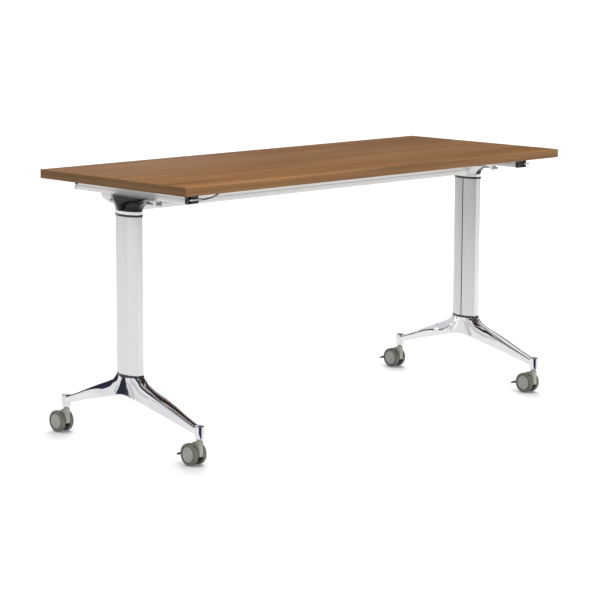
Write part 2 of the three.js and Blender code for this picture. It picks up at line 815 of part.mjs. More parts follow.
function crossbeam() {
  const half = BEAM_WIDTH / 2;
  const groove = beamBottom + BEAM_GROOVE_HEIGHT;
  const outline = grooved(half, beamBottom, beamTop, groove, BEAM_GROOVE_WIDTH, BEAM_GROOVE_DEPTH);
  const boreHalf = half - BEAM_WALL - BEAM_GROOVE_DEPTH;
  const bore = rectangle(-boreHalf, beamBottom + BEAM_WALL, boreHalf, beamTop - BEAM_WALL);
  const end = legX - BEAM_SHOULDER;
  return tube(alongX, outline, bore, -end, end).translate(0, LEG_SETBACK, 0);
}

addPiece(table, 'crossbeam', crossbeam(), MATERIALS.aluminium);

// Rails screwed under the worktop, with a release housing in front and a cap behind

function railOutline() {
  const half = RAIL_WIDTH / 2;
  const groove = railBottom + RAIL_GROOVE_HEIGHT;
  const low = groove - RAIL_GROOVE_WIDTH / 2;
  const high = groove + RAIL_GROOVE_WIDTH / 2;
  const bottom = half - RAIL_GROOVE_DEPTH;
  const corner = half - RAIL_ROUND;
  const outline = new THREE.Shape();
  outline.moveTo(-corner, railBottom);
  outline.lineTo(corner, railBottom);
  outline.absarc(corner, railBottom + RAIL_ROUND, RAIL_ROUND, -Math.PI / 2, 0);
  for (const [x, z] of [[half, low], [bottom, low], [bottom, high], [half, high], [half, railTop]]) {
    outline.lineTo(x, z);
  }
  for (const [x, z] of [[-half, railTop], [-half, high], [-bottom, high], [-bottom, low], [-half, low]]) {
    outline.lineTo(x, z);
  }
  outline.absarc(-corner, railBottom + RAIL_ROUND, RAIL_ROUND, Math.PI, Math.PI * 1.5);
  return outline;
}

const railBore = {
  half: RAIL_WIDTH / 2 - RAIL_WALL - RAIL_GROOVE_DEPTH,
  bottom: railBottom + RAIL_WALL,
  top: railTop - RAIL_WALL,
};
const railCentreX = RAIL_WIDTH / 2;
const railLedge = railBottom + RAIL_GROOVE_HEIGHT + RAIL_GROOVE_WIDTH / 2;
const latchTabFront = -(BRACKET_FRONT + SEAT + LATCH_TAIL - LATCH_HEAD_LENGTH);

function rail() {
  const hole = rectangle(-railBore.half, railBore.bottom, railBore.half, railBore.top);
  const front = railFront + HOUSING_FLANGE + SEAT;
  const rear = railRear - REAR_CAP_FLANGE - SEAT;
  const bar = tube(alongY, railOutline(), hole, front, rear);
  const notchFront = rear - REAR_CAP_SHOULDER;
  const notch = block(-RAIL_WIDTH, RAIL_WIDTH, notchFront, rear + 1, railLedge, railTop + 1);
  const notched = cut(bar, notch).translate(railCentreX, -LEG_SETBACK, 0);
  const slotHalf = LATCH_TAB / 2 + LATCH_ROOM;
  const slotFront = latchTabFront - latchTravel - LATCH_ROOM;
  const slotBack = latchTabFront + LATCH_TAB + LATCH_ROOM;
  const left = PULL_ROD_INBOARD - slotHalf;
  const right = PULL_ROD_INBOARD + slotHalf;
  const slot = block(left, right, slotFront, slotBack, railBottom - 1, railBore.bottom + 1);
  return cut(notched, slot);
}

// What fits the rail's bore, with a seating gap all round.
function railPlug() {
  const half = railBore.half - SEAT;
  return rectangle(-half, railBore.bottom + SEAT, half, railBore.top - SEAT);
}

function rearCap() {
  const inner = railRear - REAR_CAP_FLANGE;
  const flange = alongY(railOutline(), inner, railRear);
  const plug = alongY(railPlug(), inner - REAR_CAP_PLUG, railRear - 1);
  const half = RAIL_WIDTH / 2;
  const shoulder = block(-half, half, inner - REAR_CAP_SHOULDER, inner + 1, railLedge + SEAT, railTop);
  return join(flange, plug, shoulder).translate(railCentreX, -LEG_SETBACK, 0);
}

addPair('rail', rail(), MATERIALS.aluminium);
addPair('rear_cap', rearCap(), MATERIALS.black);

// Both release levers are the same part, so their side tabs point the same way and neither is mirrored.

const leverX = { left: PULL_ROD_INBOARD - railCentreX, right: railCentreX - PULL_ROD_INBOARD };

function releaseHousing(x) {
  const flange = alongY(railOutline(), railFront, railFront + HOUSING_FLANGE);
  const plugEnd = railFront + HOUSING_FLANGE + HOUSING_PLUG;
  const plug = alongY(railPlug(), railFront + 1, plugEnd);
  const slotHalf = LEVER_WIDTH / 2 + SEAT;
  const pocketTop = leverPivotZ + LEVER_THICKNESS + LEVER_ROOM;
  const pocket = block(
    x - slotHalf, x + slotHalf, railFront - 1, plugEnd + 1, railBottom + LEVER_ROOM, pocketTop,
  );
  const pin = cylinderX(LEVER_PIN_RADIUS, x - slotHalf - 1, x + slotHalf + 1);
  pin.translate(0, leverPivotY, leverPivotZ);
  return join(cut(join(flange, plug), pocket), pin);
}

// A bell crank: the bar in front is lifted, and the arm below the pin draws the rod forward.
function releaseLever(x) {
  const thick = LEVER_THICKNESS;
  const eye = LEVER_PIN_RADIUS + RUNNING + LEVER_EYE_WALL;
  const barBottom = railBottom + LEVER_BAR_HEIGHT - LEVER_BAR_THICKNESS / 2;
  const barTop = barBottom + LEVER_BAR_THICKNESS;
  const barBack = railFront - SEAT;
  const barFront = barBack - LEVER_BAR_DEPTH;
  const arm = new THREE.Shape();
  arm.moveTo(leverPivotY + eye, leverPivotZ);
  arm.absarc(leverPivotY, leverPivotZ, eye, 0, Math.PI);
  arm.lineTo(leverPivotY - eye, barTop + LEVER_BAR_FALL);
  arm.lineTo(barFront, barTop);
  arm.lineTo(barFront, barBottom);
  arm.lineTo(leverPivotY - eye, barBottom);
  arm.lineTo(leverPivotY - thick / 2, pullRodZ - thick / 2);
  arm.lineTo(leverPivotY + thick / 2, pullRodZ - thick / 2);
  const half = LEVER_WIDTH / 2;
  const plate = alongX(arm, x - half, x + half);
  const bar = block(x - half, railCentreX + LEVER_BAR_OVERHANG, barFront, barBack, barBottom, barTop);
  const pinHole = cylinderX(LEVER_PIN_RADIUS + RUNNING, -RAIL_WIDTH, RAIL_WIDTH);
  pinHole.translate(0, leverPivotY, leverPivotZ);
  return cut(join(plate, bar), pinHole);
}

for (const side of sides) {
  const centre = side.right ? legX - railCentreX : railCentreX - legX;
  const x = leverX[side.name];
  const housing = releaseHousing(x).translate(centre, 0, 0);
  const lever = releaseLever(x).translate(centre, 0, 0);
  addPiece(table, `${side.name}_release_housing`, housing, MATERIALS.black);
  addPiece(table, `${side.name}_release_lever`, lever, MATERIALS.lever);
}

// Tilt brackets under the rails, turning on pins in the head lugs

const bracketTop = railBottom - SEAT;
const bracketUnder = bracketTop - BRACKET_PLATE;
const bracketInner = RAIL_WIDTH - BRACKET_SIDE;

// The side walls hang down round the pivot and run out along the plate behind it.
function bracketWall() {
  const root = PIVOT_BACK - BRACKET_ROOT;
  const front = PIVOT_BACK - BRACKET_EYE;
  const wall = new THREE.Shape();
  wall.moveTo(BRACKET_REAR, bracketTop);
  wall.lineTo(root, bracketTop);
  wall.lineTo(root, bracketUnder - 1);
  wall.quadraticCurveTo(front, bracketUnder - 1, front, pivotZ);
  wall.absarc(PIVOT_BACK, pivotZ, BRACKET_EYE, Math.PI, Math.PI * 1.7);
  wall.quadraticCurveTo(BRACKET_REAR - BRACKET_TAIL, pivotZ, BRACKET_REAR, bracketUnder - BRACKET_TAIL_DROP);
  return wall;
}

// The block in front that carries the latch bolt.
function bracketHook() {
  const front = -BRACKET_FRONT;
  const under = bracketTop - HOOK_DROP;
  const hook = new THREE.Shape();
  hook.moveTo(front, bracketTop);
  hook.lineTo(front, under);
  hook.lineTo(front + HOOK_NOSE, under);
  hook.quadraticCurveTo(front + HOOK_WIDTH, bracketUnder - HOOK_FILLET, front + HOOK_LENGTH, bracketUnder);
  hook.lineTo(front + HOOK_LENGTH, bracketTop);
  return hook;
}

function tiltBracket() {
  const plate = block(BRACKET_SIDE, bracketInner, -BRACKET_FRONT, BRACKET_REAR, bracketUnder, bracketTop);
  const outerWall = alongX(bracketWall(), BRACKET_SIDE, BRACKET_SIDE + BRACKET_WALL);
  const innerWall = alongX(bracketWall(), bracketInner - BRACKET_WALL, bracketInner);
  const hook = alongX(bracketHook(), BRACKET_SIDE, BRACKET_SIDE + HOOK_WIDTH);
  const pinHole = cylinderX(PIVOT_RADIUS + SEAT, -RAIL_WIDTH, 2 * RAIL_WIDTH);
  pinHole.translate(0, PIVOT_BACK, pivotZ);
  const latchHole = cylinderY(LATCH_RADIUS + RUNNING, -2 * BRACKET_FRONT, 0);
  latchHole.translate(LATCH_INBOARD, 0, latchZ);
  return cut(join(plate, outerWall, innerWall, hook), pinHole, latchHole);
}

function pivotPin() {
  const from = BRACKET_SIDE - PIVOT_OVERHANG;
  const to = bracketInner + PIVOT_OVERHANG;
  const end = PIVOT_RADIUS - PIVOT_CHAMFER;
  return turned([
    [0, from], [end, from], [PIVOT_RADIUS, from + PIVOT_CHAMFER],
    [PIVOT_RADIUS, to - PIVOT_CHAMFER], [end, to], [0, to],
  ], ROUND_SIDES).rotateY(Math.PI / 2).translate(0, PIVOT_BACK, pivotZ);
}

// A round bolt carried in the bracket's hook, with a tab that the pull rod draws forward.
function latchBolt() {
  const nose = LATCH_RADIUS / 2;
  const shoulder = -(BRACKET_FRONT + SEAT);
  const front = shoulder - LATCH_TAIL;
  const pin = turned([
    [0, front], [LATCH_HEAD_RADIUS, front], [LATCH_HEAD_RADIUS, shoulder],
    [LATCH_RADIUS, shoulder], [LATCH_RADIUS, latchTip - nose], [LATCH_RADIUS - nose, latchTip], [0, latchTip],
  ], ROUND_SIDES).rotateX(-Math.PI / 2).translate(LATCH_INBOARD, 0, latchZ);
  const half = LATCH_TAB / 2;
  const tabTop = pullRodZ + PULL_ROD_RADIUS + LATCH_TAB_ABOVE;
  const left = PULL_ROD_INBOARD - half;
  const right = PULL_ROD_INBOARD + half;
  const tab = block(left, right, latchTabFront, latchTabFront + LATCH_TAB, latchZ, tabTop);
  return join(pin, tab);
}

function pullRod() {
  const front = leverPivotY - LEG_SETBACK + LEVER_THICKNESS / 2 + PULL_ROD_CLEAR;
  const back = latchTabFront - SEAT;
  return cylinderY(PULL_ROD_RADIUS, front, back, ROD_SIDES).translate(PULL_ROD_INBOARD, 0, pullRodZ);
}

addPair('tilt_bracket', tiltBracket(), MATERIALS.aluminium);
addPair('pivot_pin', pivotPin(), MATERIALS.steel);
addPair('latch_bolt', latchBolt(), MATERIALS.blackened);
addPair('pull_rod', pullRod(), MATERIALS.steel);

// Cable that ties the two releases together, clipped under the worktop

const cableZ = topUnder - SEAT - CLIP_WALL - SEAT - CABLE_RADIUS;
const cableStartX = legX - RAIL_WIDTH - SEAT;

// Distance inboard of the housing, place along the depth and drop below the clipped run.
const CABLE_LANE = -170;
const LEFT_LEAD = [
  [0, -230, 19], [14, -230, 19], [30, -229.5, 18.5], [45, -229, 17], [60, -228, 14], [75, -225, 9.5],
  [92, -218, 4.5], [112, -207, 0.8], [140, -190, 0], [170, -177, 0],
  [200, CABLE_LANE, 0], [240, CABLE_LANE, 0],
];
const RIGHT_LEAD = [
  [0, -230, 3], [20, -229.5, 3], [45, -225, 2], [80, -210, 0.5], [120, -190, 0], [160, -176, 0],
  [200, CABLE_LANE, 0], [240, CABLE_LANE, 0],
];

function leadPoints(lead, side) {
  return lead.map(([inboard, y, drop]) => {
    return new THREE.Vector3(side * (cableStartX - inboard), y, cableZ - drop);
  });
}

function cableCurve() {
  return new THREE.CatmullRomCurve3([...leadPoints(LEFT_LEAD, -1), ...leadPoints(RIGHT_LEAD, 1).reverse()]);
}

function releaseCable() {
  const section = [];
  for (let side = 0; side < CABLE_SIDES; side += 1) {
    const angle = (side / CABLE_SIDES) * 2 * Math.PI;
    section.push([CABLE_RADIUS * Math.cos(angle), CABLE_RADIUS * Math.sin(angle)]);
  }
  return new THREE.ExtrudeGeometry(shape(section), { steps: CABLE_STEPS, extrudePath: cableCurve() });
}

function cableClip() {
  const hole = circle(0, cableZ, CABLE_RADIUS + SEAT);
  const top = topUnder - SEAT;
  const ear = CLIP_LENGTH / 2;
  const body = CABLE_RADIUS + SEAT + CLIP_WALL;
  const outline = new THREE.Shape();
  outline.moveTo(ear, top);
  outline.lineTo(-ear, top);
  outline.lineTo(-ear, top - CLIP_WALL);
  outline.lineTo(-body, top - CLIP_WALL);
  outline.lineTo(-body, cableZ);
  outline.absarc(0, cableZ, body, Math.PI, 2 * Math.PI);
  outline.lineTo(body, top - CLIP_WALL);
  outline.lineTo(ear, top - CLIP_WALL);
  return tube(alongX, outline, hole, -CLIP_WIDTH / 2, CLIP_WIDTH / 2).translate(0, CABLE_LANE, 0);
}

addPiece(table, 'release_cable', releaseCable(), MATERIALS.black);
const clipSpan = cableStartX - LEFT_LEAD[LEFT_LEAD.length - 1][0] - CLIP_WIDTH;
for (const [name, x] of [['left', -clipSpan], ['middle', 0], ['right', clipSpan]]) {
  addPiece(table, `${name}_cable_clip`, cableClip().translate(x, 0, 0), MATERIALS.black);
}

// Casters: twin wheels on an axle in a narrow fork that swivels on a stem

const forkHalf = FORK_WIDTH / 2;
const wheelInner = forkHalf + FORK_GAP;
const axleHalf = wheelInner + WHEEL_WIDTH - WHEEL_FLOOR - SEAT;
const pedalPivot = { y: CASTER_TRAIL + PEDAL_PIVOT, z: axleZ };

function casterStem() {
  const from = bossBottom - STEM_IN_FORK;
  const to = from + STEM_LENGTH;
  const collar = STEM_RADIUS + STEM_COLLAR;
  const collarTopZ = bossBottom - SEAT;
  const collarLowZ = collarTopZ - STEM_FLANGE;
  return turned([
    [0, from], [STEM_RADIUS, from], [STEM_RADIUS, collarLowZ], [collar, collarLowZ], [collar, collarTopZ],
    [STEM_RADIUS, collarTopZ], [STEM_RADIUS, to], [0, to],
  ], ROD_SIDES);
}

function casterFork() {
  const neck = CASTER_NECK_RADIUS;
  const neckTop = bossBottom - STEM_FLANGE - 2 * SEAT;
  const hood = WHEEL_RADIUS - FORK_HOOD_INSET;
  const low = axleZ - FORK_FRONT_DROP;
  const outline = new THREE.Shape();
  outline.moveTo(-neck, neckTop - FORK_NECK_STEP);
  outline.lineTo(-neck, low + FORK_FRONT_ROUND);
  outline.quadraticCurveTo(-neck, low, -neck + FORK_FRONT_ROUND, low);
  outline.lineTo(CASTER_TRAIL, axleZ - FORK_EYE);
  outline.absarc(CASTER_TRAIL, axleZ, FORK_EYE, -Math.PI / 2, 0);
  outline.absarc(CASTER_TRAIL, axleZ, hood, FORK_HOOD_FROM, FORK_HOOD_TO);
  outline.lineTo(neck, neckTop - FORK_NECK_STEP);
  const web = alongX(outline, -forkHalf, forkHalf);
  const post = cylinderZ(neck, low + FORK_FRONT_ROUND, neckTop);
  const stemHole = cylinderZ(STEM_RADIUS + RUNNING, bossBottom - STEM_IN_FORK - SEAT, bossBottom);
  const axleHole = cylinderX(AXLE_RADIUS + SEAT, -WHEEL_RADIUS, WHEEL_RADIUS);
  axleHole.translate(0, CASTER_TRAIL, axleZ);
  return cut(join(web, post), stemHole, axleHole);
}

// Two cheeks behind the fork carry the pedal's pin.
function forkWithCheeks() {
  const { y, z } = pedalPivot;
  const slot = PEDAL_WIDTH / 2 + SEAT;
  const room = PEDAL_EYE + PEDAL_ROOM;
  const cheek = new THREE.Shape();
  cheek.moveTo(CASTER_TRAIL + CHEEK_ROOT, z + CHEEK_RISE);
  cheek.lineTo(CASTER_TRAIL + CHEEK_ROOT, z - PEDAL_EYE);
  cheek.absarc(y, z, PEDAL_EYE, -Math.PI / 2, Math.PI / 2);
  const cheeks = alongX(cheek, -forkHalf, forkHalf);
  const pocket = cylinderX(room, -slot, slot).translate(0, y, z);
  const way = block(-slot, slot, y, y + PEDAL_REACH, z - WHEEL_RADIUS, z + room);
  const pin = cylinderX(PEDAL_PIN, -forkHalf + PEDAL_PIN_INSET, forkHalf - PEDAL_PIN_INSET, ROD_SIDES);
  return join(cut(join(casterFork(), cheeks), pocket, way), pin.translate(0, y, z));
}

function casterAxle() {
  return cylinderX(AXLE_RADIUS, -axleHalf, axleHalf).translate(0, CASTER_TRAIL, axleZ);
}

// Drawn with its inner face at zero; the bore is blind, so the outer disc is whole.
function casterWheel(sign) {
  const bore = AXLE_RADIUS + RUNNING;
  const soft = TYRE_SHOULDER;
  const bend = soft * Math.SQRT1_2;
  const floor = WHEEL_WIDTH - WHEEL_FLOOR;
  const disc = WHEEL_WIDTH - DISC_RECESS;
  const profile = [
    [0, floor], [bore, floor], [bore, 0], [WHEEL_RADIUS - TYRE_CHAMFER, 0], [WHEEL_RADIUS, TYRE_CHAMFER],
    [WHEEL_RADIUS, WHEEL_WIDTH - soft], [WHEEL_RADIUS - soft + bend, WHEEL_WIDTH - soft + bend],
    [WHEEL_RADIUS - soft, WHEEL_WIDTH],
    [DISC_RADIUS, WHEEL_WIDTH], [DISC_RADIUS - DISC_RECESS, disc], [0, disc],
  ];
  const half = Math.PI / WHEEL_SIDES;
  return turned(profile, WHEEL_SIDES)
    .rotateZ(half)
    .rotateY((sign * Math.PI) / 2)
    .translate(sign * wheelInner, CASTER_TRAIL, axleZ);
}

// A tapering tongue that falls away from its eye.
function brakePedal() {
  const { y, z } = pedalPivot;
  const half = PEDAL_THICKNESS / 2;
  const tipZ = z - PEDAL_DROP;
  const heel = THREE.MathUtils.degToRad(PEDAL_HEEL);
  const heelY = y + PEDAL_EYE * Math.cos(heel);
  const heelZ = z + PEDAL_EYE * Math.sin(heel);
  const outline = new THREE.Shape();
  outline.absarc(y, z, PEDAL_EYE, heel, Math.PI * 1.5);
  outline.quadraticCurveTo(y + PEDAL_BELLY, z - PEDAL_EYE - half, pedalTipY, tipZ - half);
  outline.lineTo(pedalTipY, tipZ + half);
  outline.quadraticCurveTo(y + PEDAL_CREST, z + half, heelY, heelZ);
  const plate = alongX(outline, -PEDAL_WIDTH / 2, PEDAL_WIDTH / 2);
  const pinHole = cylinderX(PEDAL_PIN + RUNNING, -PEDAL_WIDTH, PEDAL_WIDTH, ROD_SIDES);
  return cut(plate, pinHole.translate(0, y, z));
}

const CASTERS = [
  { name: 'front_left', side: -1, end: -1, braked: true },
  { name: 'front_right', side: 1, end: -1, braked: true },
  { name: 'rear_left', side: -1, end: 1, braked: false },
  { name: 'rear_right', side: 1, end: 1, braked: true },
];

for (const { name, side, end, braked } of CASTERS) {
  const caster = new THREE.Group();
  caster.position.set(side * legX, LEG_SETBACK + end * stemY, 0);
  table.add(caster);
  addPiece(caster, `${name}_stem`, casterStem(), MATERIALS.steel);
  addPiece(caster, `${name}_fork`, braked ? forkWithCheeks() : casterFork(), MATERIALS.casterBody);
  addPiece(caster, `${name}_axle`, casterAxle(), MATERIALS.steel);
  addPiece(caster, `${name}_wheel_a`, casterWheel(-1), MATERIALS.casterWheel);
  addPiece(caster, `${name}_wheel_b`, casterWheel(1), MATERIALS.casterWheel);
  if (braked) addPiece(caster, `${name}_brake_pedal`, brakePedal(), MATERIALS.casterBody);
}

export default table;
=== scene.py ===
import json
import math

import bpy
from mathutils import Matrix, Vector

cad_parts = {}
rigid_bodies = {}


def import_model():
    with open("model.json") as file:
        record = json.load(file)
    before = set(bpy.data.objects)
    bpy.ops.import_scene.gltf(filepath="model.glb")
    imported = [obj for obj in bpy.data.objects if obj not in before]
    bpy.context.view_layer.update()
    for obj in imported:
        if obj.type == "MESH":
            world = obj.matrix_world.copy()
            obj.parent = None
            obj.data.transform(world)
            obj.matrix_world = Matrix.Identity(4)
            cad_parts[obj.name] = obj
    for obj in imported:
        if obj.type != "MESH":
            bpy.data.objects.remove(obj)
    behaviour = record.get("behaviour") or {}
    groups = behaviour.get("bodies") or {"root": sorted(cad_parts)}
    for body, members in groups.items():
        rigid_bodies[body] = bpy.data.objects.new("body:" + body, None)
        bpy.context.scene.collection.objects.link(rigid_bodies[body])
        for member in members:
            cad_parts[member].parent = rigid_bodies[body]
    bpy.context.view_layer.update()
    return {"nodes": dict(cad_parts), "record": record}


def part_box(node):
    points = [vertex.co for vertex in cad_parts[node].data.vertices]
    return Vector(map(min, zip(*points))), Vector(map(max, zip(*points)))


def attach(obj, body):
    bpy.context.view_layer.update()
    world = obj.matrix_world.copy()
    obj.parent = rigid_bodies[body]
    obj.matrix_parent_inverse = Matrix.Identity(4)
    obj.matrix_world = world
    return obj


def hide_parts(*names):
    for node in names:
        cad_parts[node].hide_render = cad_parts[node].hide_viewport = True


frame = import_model()

# Sizes are written in millimetres and turned into Blender's metres with MM.
MM = 0.001

# Camera, as fitted to the photograph
CAMERA_AT = Vector((-4.5463, -4.6159, 1.4142))
CAMERA_YAW = math.radians(44.486)
CAMERA_PITCH = math.radians(9.475)
CAMERA_ROLL = math.radians(0.207)
CAMERA_FOCAL = 2216.0
FRAME_PIXELS = 600
SENSOR = 36.0

# Floor and light
FLOOR_LOW = (-1.1, -0.66)
FLOOR_HIGH = (1.55, 0.86)
FLOOR_TONE = 0.1
FLOOR_GLOW = 0.8
FLOOR_SEEN = 0.65
FLOOR_POWER = 6000.0
CONTACT_REACH = 0.2
AMBIENT = 1.15
KEY_POWER = 130.0
FRONT_POWER = 122.0
SIDE_POWER = 9.0
SKY_SEEN = 1.3

# Lights: place, point that they face and size, in metres
OVERHEAD = ((-0.6, -1.2, 4.2), (0, 0, 0.3), 5.0)
FRONT = ((3.8, -4.6, 1.2), (0, 0, 0.6), 2.4)
SIDE = ((-4.2, -0.9, 1.1), (-0.6, 0, 0.6), 2.0)
BACK = ((5.8, 5.8, 5.8), (0, 0, 0), 7.2)

# Card that shows in the right foot
CARD_AT = (0.5, 1.06, 0.43)
CARD_TOWARDS = (0.67, 0.08, 0.43)
CARD_WIDE = 1.7
CARD_TALL = 0.7
CARD_POWER = 3.5

# Studio that mirrors show: its colours, and the soft edge of its panels
NIGHT = (0.035, 0.04, 0.062, 1)
WHITE = (1.14, 1.14, 1.16, 1)
GREY = (0.62, 0.62, 0.64, 1)
PALE = (0.85, 0.85, 0.85, 1)
PANEL_FADE = 0.012

# Wood: dark, middle and light shades in sRGB
TOP_SHADES = ((88, 58, 30), (116, 80, 44), (138, 98, 61))
FRONT_SHADES = ((92, 65, 40), (113, 82, 53), (130, 96, 64))
# The ends are painted darker than the front: painted shade on the end faces, with grain that runs along them
SHADED_END_SHADES = ((77, 55, 35), (97, 71, 46), (113, 84, 58))
# Dark brown painted on the underside of the top: painted shade
UNDERSIDE_PAINTED_SHADE = (60, 44, 35)
# Heights of the painted highlight along the edge band's upper edge
ARRIS_HIGHLIGHT_LOW = 752.5 * MM
ARRIS_HIGHLIGHT_HIGH = 753.5 * MM

# Casters: height under which the fork is painted black, a painted shade between the wheels
FORK_SHADE_LOW = 26.8 * MM
FORK_SHADE_HIGH = 27.5 * MM

# Fine edges on the parts that keep their modelled shape
WELD = 0.01 * MM
FLAT_ANGLE = math.radians(0.5)

# Painted shadow along the groove of the columns
GROOVE_HALF = 1.6 * MM
GROOVE_FADE = 0.4 * MM
GROOVE_SHADOW_TONE = (0.1, 0.1, 0.098, 1)

# Wheels
WHEEL_SEGMENTS = 72
WHEEL_SHOULDER = 4.0
WHEEL_WALL = 26.4
WHEEL_FACE = 22.6
WHEEL_GROOVE = 1.7
WHEEL_DISC = 21.7
WHEEL_BORE = 3.25
WHEEL_BORE_END = 3.0
WHEEL_CHAMFER = 0.4
WHEEL_INNER_ROUND = 2.0
# Share of the disc's radius and depth under the wheel's face
WHEEL_DOME = ((0.8, 0.38), (0.5, 0.22), (0.2, 0.14), (0, 0.12))

# Feet: reach from the column's middle and height, or half-width, in millimetres
FOOT_SECTIONS = 61
FOOT_RIDGE = ((46.2, 209), (60, 194), (80, 183.5), (140, 160.3), (220, 127.5), (276, 106.5))
FOOT_SOLE = ((0, 152), (45, 145.2), (100, 132.5), (180, 112.4), (220, 101.4), (276, 88))
FOOT_HALF = ((0, 23.2), (46, 22.6), (100, 20.8), (140, 18.8), (180, 16.3), (220, 13.4), (276, 11))
FOOT_HUB = ((0, 23.2), (18.5, 23.2), (46.2, 10.5))
FOOT_SQUARENESS = ((0, 4), (90, 4), (130, 8), (190, 16), (276, 18))
FOOT_FACET_TOP = 9.0
FOOT_FACET_FOOT = 44.0
FOOT_FACET_PROUD = 3.2
FOOT_FACET_EDGE = 5.0
FOOT_FACET_CROWN = 0.012
FOOT_FILLET = 2.5
FOOT_SIDE_STEPS = 16
FOOT_LOW_STEPS = 6
BOSS_RADIUS = 13.0
BOSS_HEIGHT = 36.0
BOSS_ROUND = 2.2
BOSS_SEGMENTS = 56

# Screws: places along Y, or across and along Y, in millimetres
SCREW_SEGMENTS = 24
RAIL_SCREWS = (-221, -181, 119, 159)
BRACKET_SCREWS = ((-9, 72), (9, 72), (9, -92), (9, -124))
BRACKET_BELOW_RAIL = 4.3
CLIP_EAR = 2.0
CLIP_SCREW_INSET = 2
RAIL_SCREW_RADIUS = 4.5
BRACKET_SCREW_RADIUS = 3.6
CLIP_SCREW_RADIUS = 1.6

scene = bpy.context.scene
nodes = frame["nodes"]
record = frame["record"]
slot_of = {part["node"]: part["material_slot"] for part in record["subparts"]}
body_of = {}
for body_name, members in record["behaviour"]["bodies"].items():
    for member in members:
        body_of[member] = body_name


# Node helpers

def linear(red, green, blue):
    """An sRGB colour, 0 to 255, as Blender's linear colour."""
    def channel(value):
        value /= 255
        return value / 12.92 if value <= 0.04045 else ((value + 0.055) / 1.055) ** 2.4
    return (channel(red), channel(green), channel(blue), 1.0)


class Finish:
    """A material with a Principled shader and short calls for its texture nodes."""

    def __init__(self, name, **sockets):
        self.material = bpy.data.materials.new(name)
        self.material.use_nodes = True
        self.tree = self.material.node_tree
        self.shader = self.tree.nodes["Principled BSDF"]
        for socket, value in sockets.items():
            self.shader.inputs[socket.replace("_", " ")].default_value = value
        self.coordinates = self.tree.nodes.new("ShaderNodeTexCoord")
        self.place = self.coordinates.outputs["Object"]

    def add(self, kind, **settings):
        node = self.tree.nodes.new(kind)
        for key, value in settings.items():
            setattr(node, key, value)
        return node

    def link(self, output, socket):
        self.tree.links.new(output, socket)

    def stretched(self, scale, offset=(0, 0, 0)):
        mapping = self.add("ShaderNodeMapping")
        mapping.inputs["Scale"].default_value = scale
        mapping.inputs["Location"].default_value = offset
        self.link(self.place, mapping.inputs["Vector"])
        return mapping.outputs["Vector"]

    def noise(self, scale, detail=4.0, rough=0.55, stretch=(1, 1, 1), offset=(0, 0, 0), distortion=0.0):
        node = self.add("ShaderNodeTexNoise")
        node.inputs["Scale"].default_value = scale
        node.inputs["Detail"].default_value = detail
        node.inputs["Roughness"].default_value = rough
        node.inputs["Distortion"].default_value = distortion
        self.link(self.stretched(stretch, offset), node.inputs["Vector"])
        return node.outputs["Fac"]

    def ramp(self, value, stops):
        node = self.add("ShaderNodeValToRGB")
        elements = node.color_ramp.elements
        while len(elements) < len(stops):
            elements.new(0.5)
        for element, (position, colour) in zip(elements, stops):
            element.position = position
            element.color = colour
        self.link(value, node.inputs["Fac"])
        return node.outputs["Color"]

    def range(self, value, low, high, to_low, to_high):
        node = self.add("ShaderNodeMapRange")
        for name, number in (("From Min", low), ("From Max", high), ("To Min", to_low), ("To Max", to_high)):
            node.inputs[name].default_value = number
        self.link(value, node.inputs["Value"])
        return node.outputs["Result"]

    def split(self, vector, axis):
        node = self.add("ShaderNodeSeparateXYZ")
        self.link(vector, node.inputs["Vector"])
        return node.outputs[axis]

    def normal(self, axis):
        return self.split(self.coordinates.outputs["Normal"], axis)

    def height(self):
        return self.split(self.place, "Z")

    def part(self, value, operation):
        node = self.add("ShaderNodeMath", operation=operation)
        self.link(value, node.inputs[0])
        return node.outputs[0]

    def mix(self, factor, first, second, mode="MIX"):
        node = self.add("ShaderNodeMix", data_type="RGBA", blend_type=mode)
        for socket, value in ((node.inputs[0], factor), (node.inputs[6], first), (node.inputs[7], second)):
            if isinstance(value, bpy.types.NodeSocket):
                self.link(value, socket)
            else:
                socket.default_value = value
        return node.outputs[2]

    def colour(self, output):
        self.link(output, self.shader.inputs["Base Color"])

    def roughness(self, value, low, high, to_low, to_high):
        self.link(self.range(value, low, high, to_low, to_high), self.shader.inputs["Roughness"])

    def bump(self, height, distance, strength=1.0):
        node = self.add("ShaderNodeBump")
        node.inputs["Distance"].default_value = distance
        node.inputs["Strength"].default_value = strength
        self.link(height, node.inputs["Height"])
        self.link(node.outputs["Normal"], self.shader.inputs["Normal"])


# Finishes, one for each slot of the record

def wood_grain(finish, shades, along_y=False):
    """Wood colours in long streaks, broad bands and short pores that run along X or along Y."""
    def run(long, across):
        return (across, long, across) if along_y else (long, across, across)
    streaks = finish.noise(1.0, 6.0, 0.62, stretch=run(2.2, 95), distortion=0.25)
    bands = finish.noise(1.0, 3.0, 0.5, stretch=run(0.8, 13), offset=(3.1, 0.7, 0.2), distortion=0.6)
    pores = finish.noise(1.0, 2.0, 0.5, stretch=run(36, 900))
    tone = finish.mix(0.33, streaks, bands)
    colours = [linear(*painted_contact_shadow) for painted_contact_shadow in shades]
    grain = finish.ramp(tone, list(zip((0.3, 0.5, 0.7), colours)))
    pore_tone = finish.ramp(pores, [(0.3, (0.7, 0.66, 0.62, 1)), (0.45, (1, 1, 1, 1))])
    return finish.mix(0.5, grain, pore_tone, "MULTIPLY"), streaks, pores


def laminate():
    """Wood-grain laminate above, painted dark brown underneath as painted shade."""
    finish = Finish("wood_laminate", Specular_IOR_Level=0.02)
    grain, streaks, pores = wood_grain(finish, TOP_SHADES)
    # Painted shade: faces that look down take the dark brown
    painted_shade_beneath = finish.range(finish.normal("Z"), -0.4, -0.6, 0, 1)
    finish.colour(finish.mix(painted_shade_beneath, grain, linear(*UNDERSIDE_PAINTED_SHADE)))
    finish.roughness(streaks, 0.3, 0.7, 0.34, 0.44)
    finish.bump(pores, 0.00012, 0.25)
    return finish.material


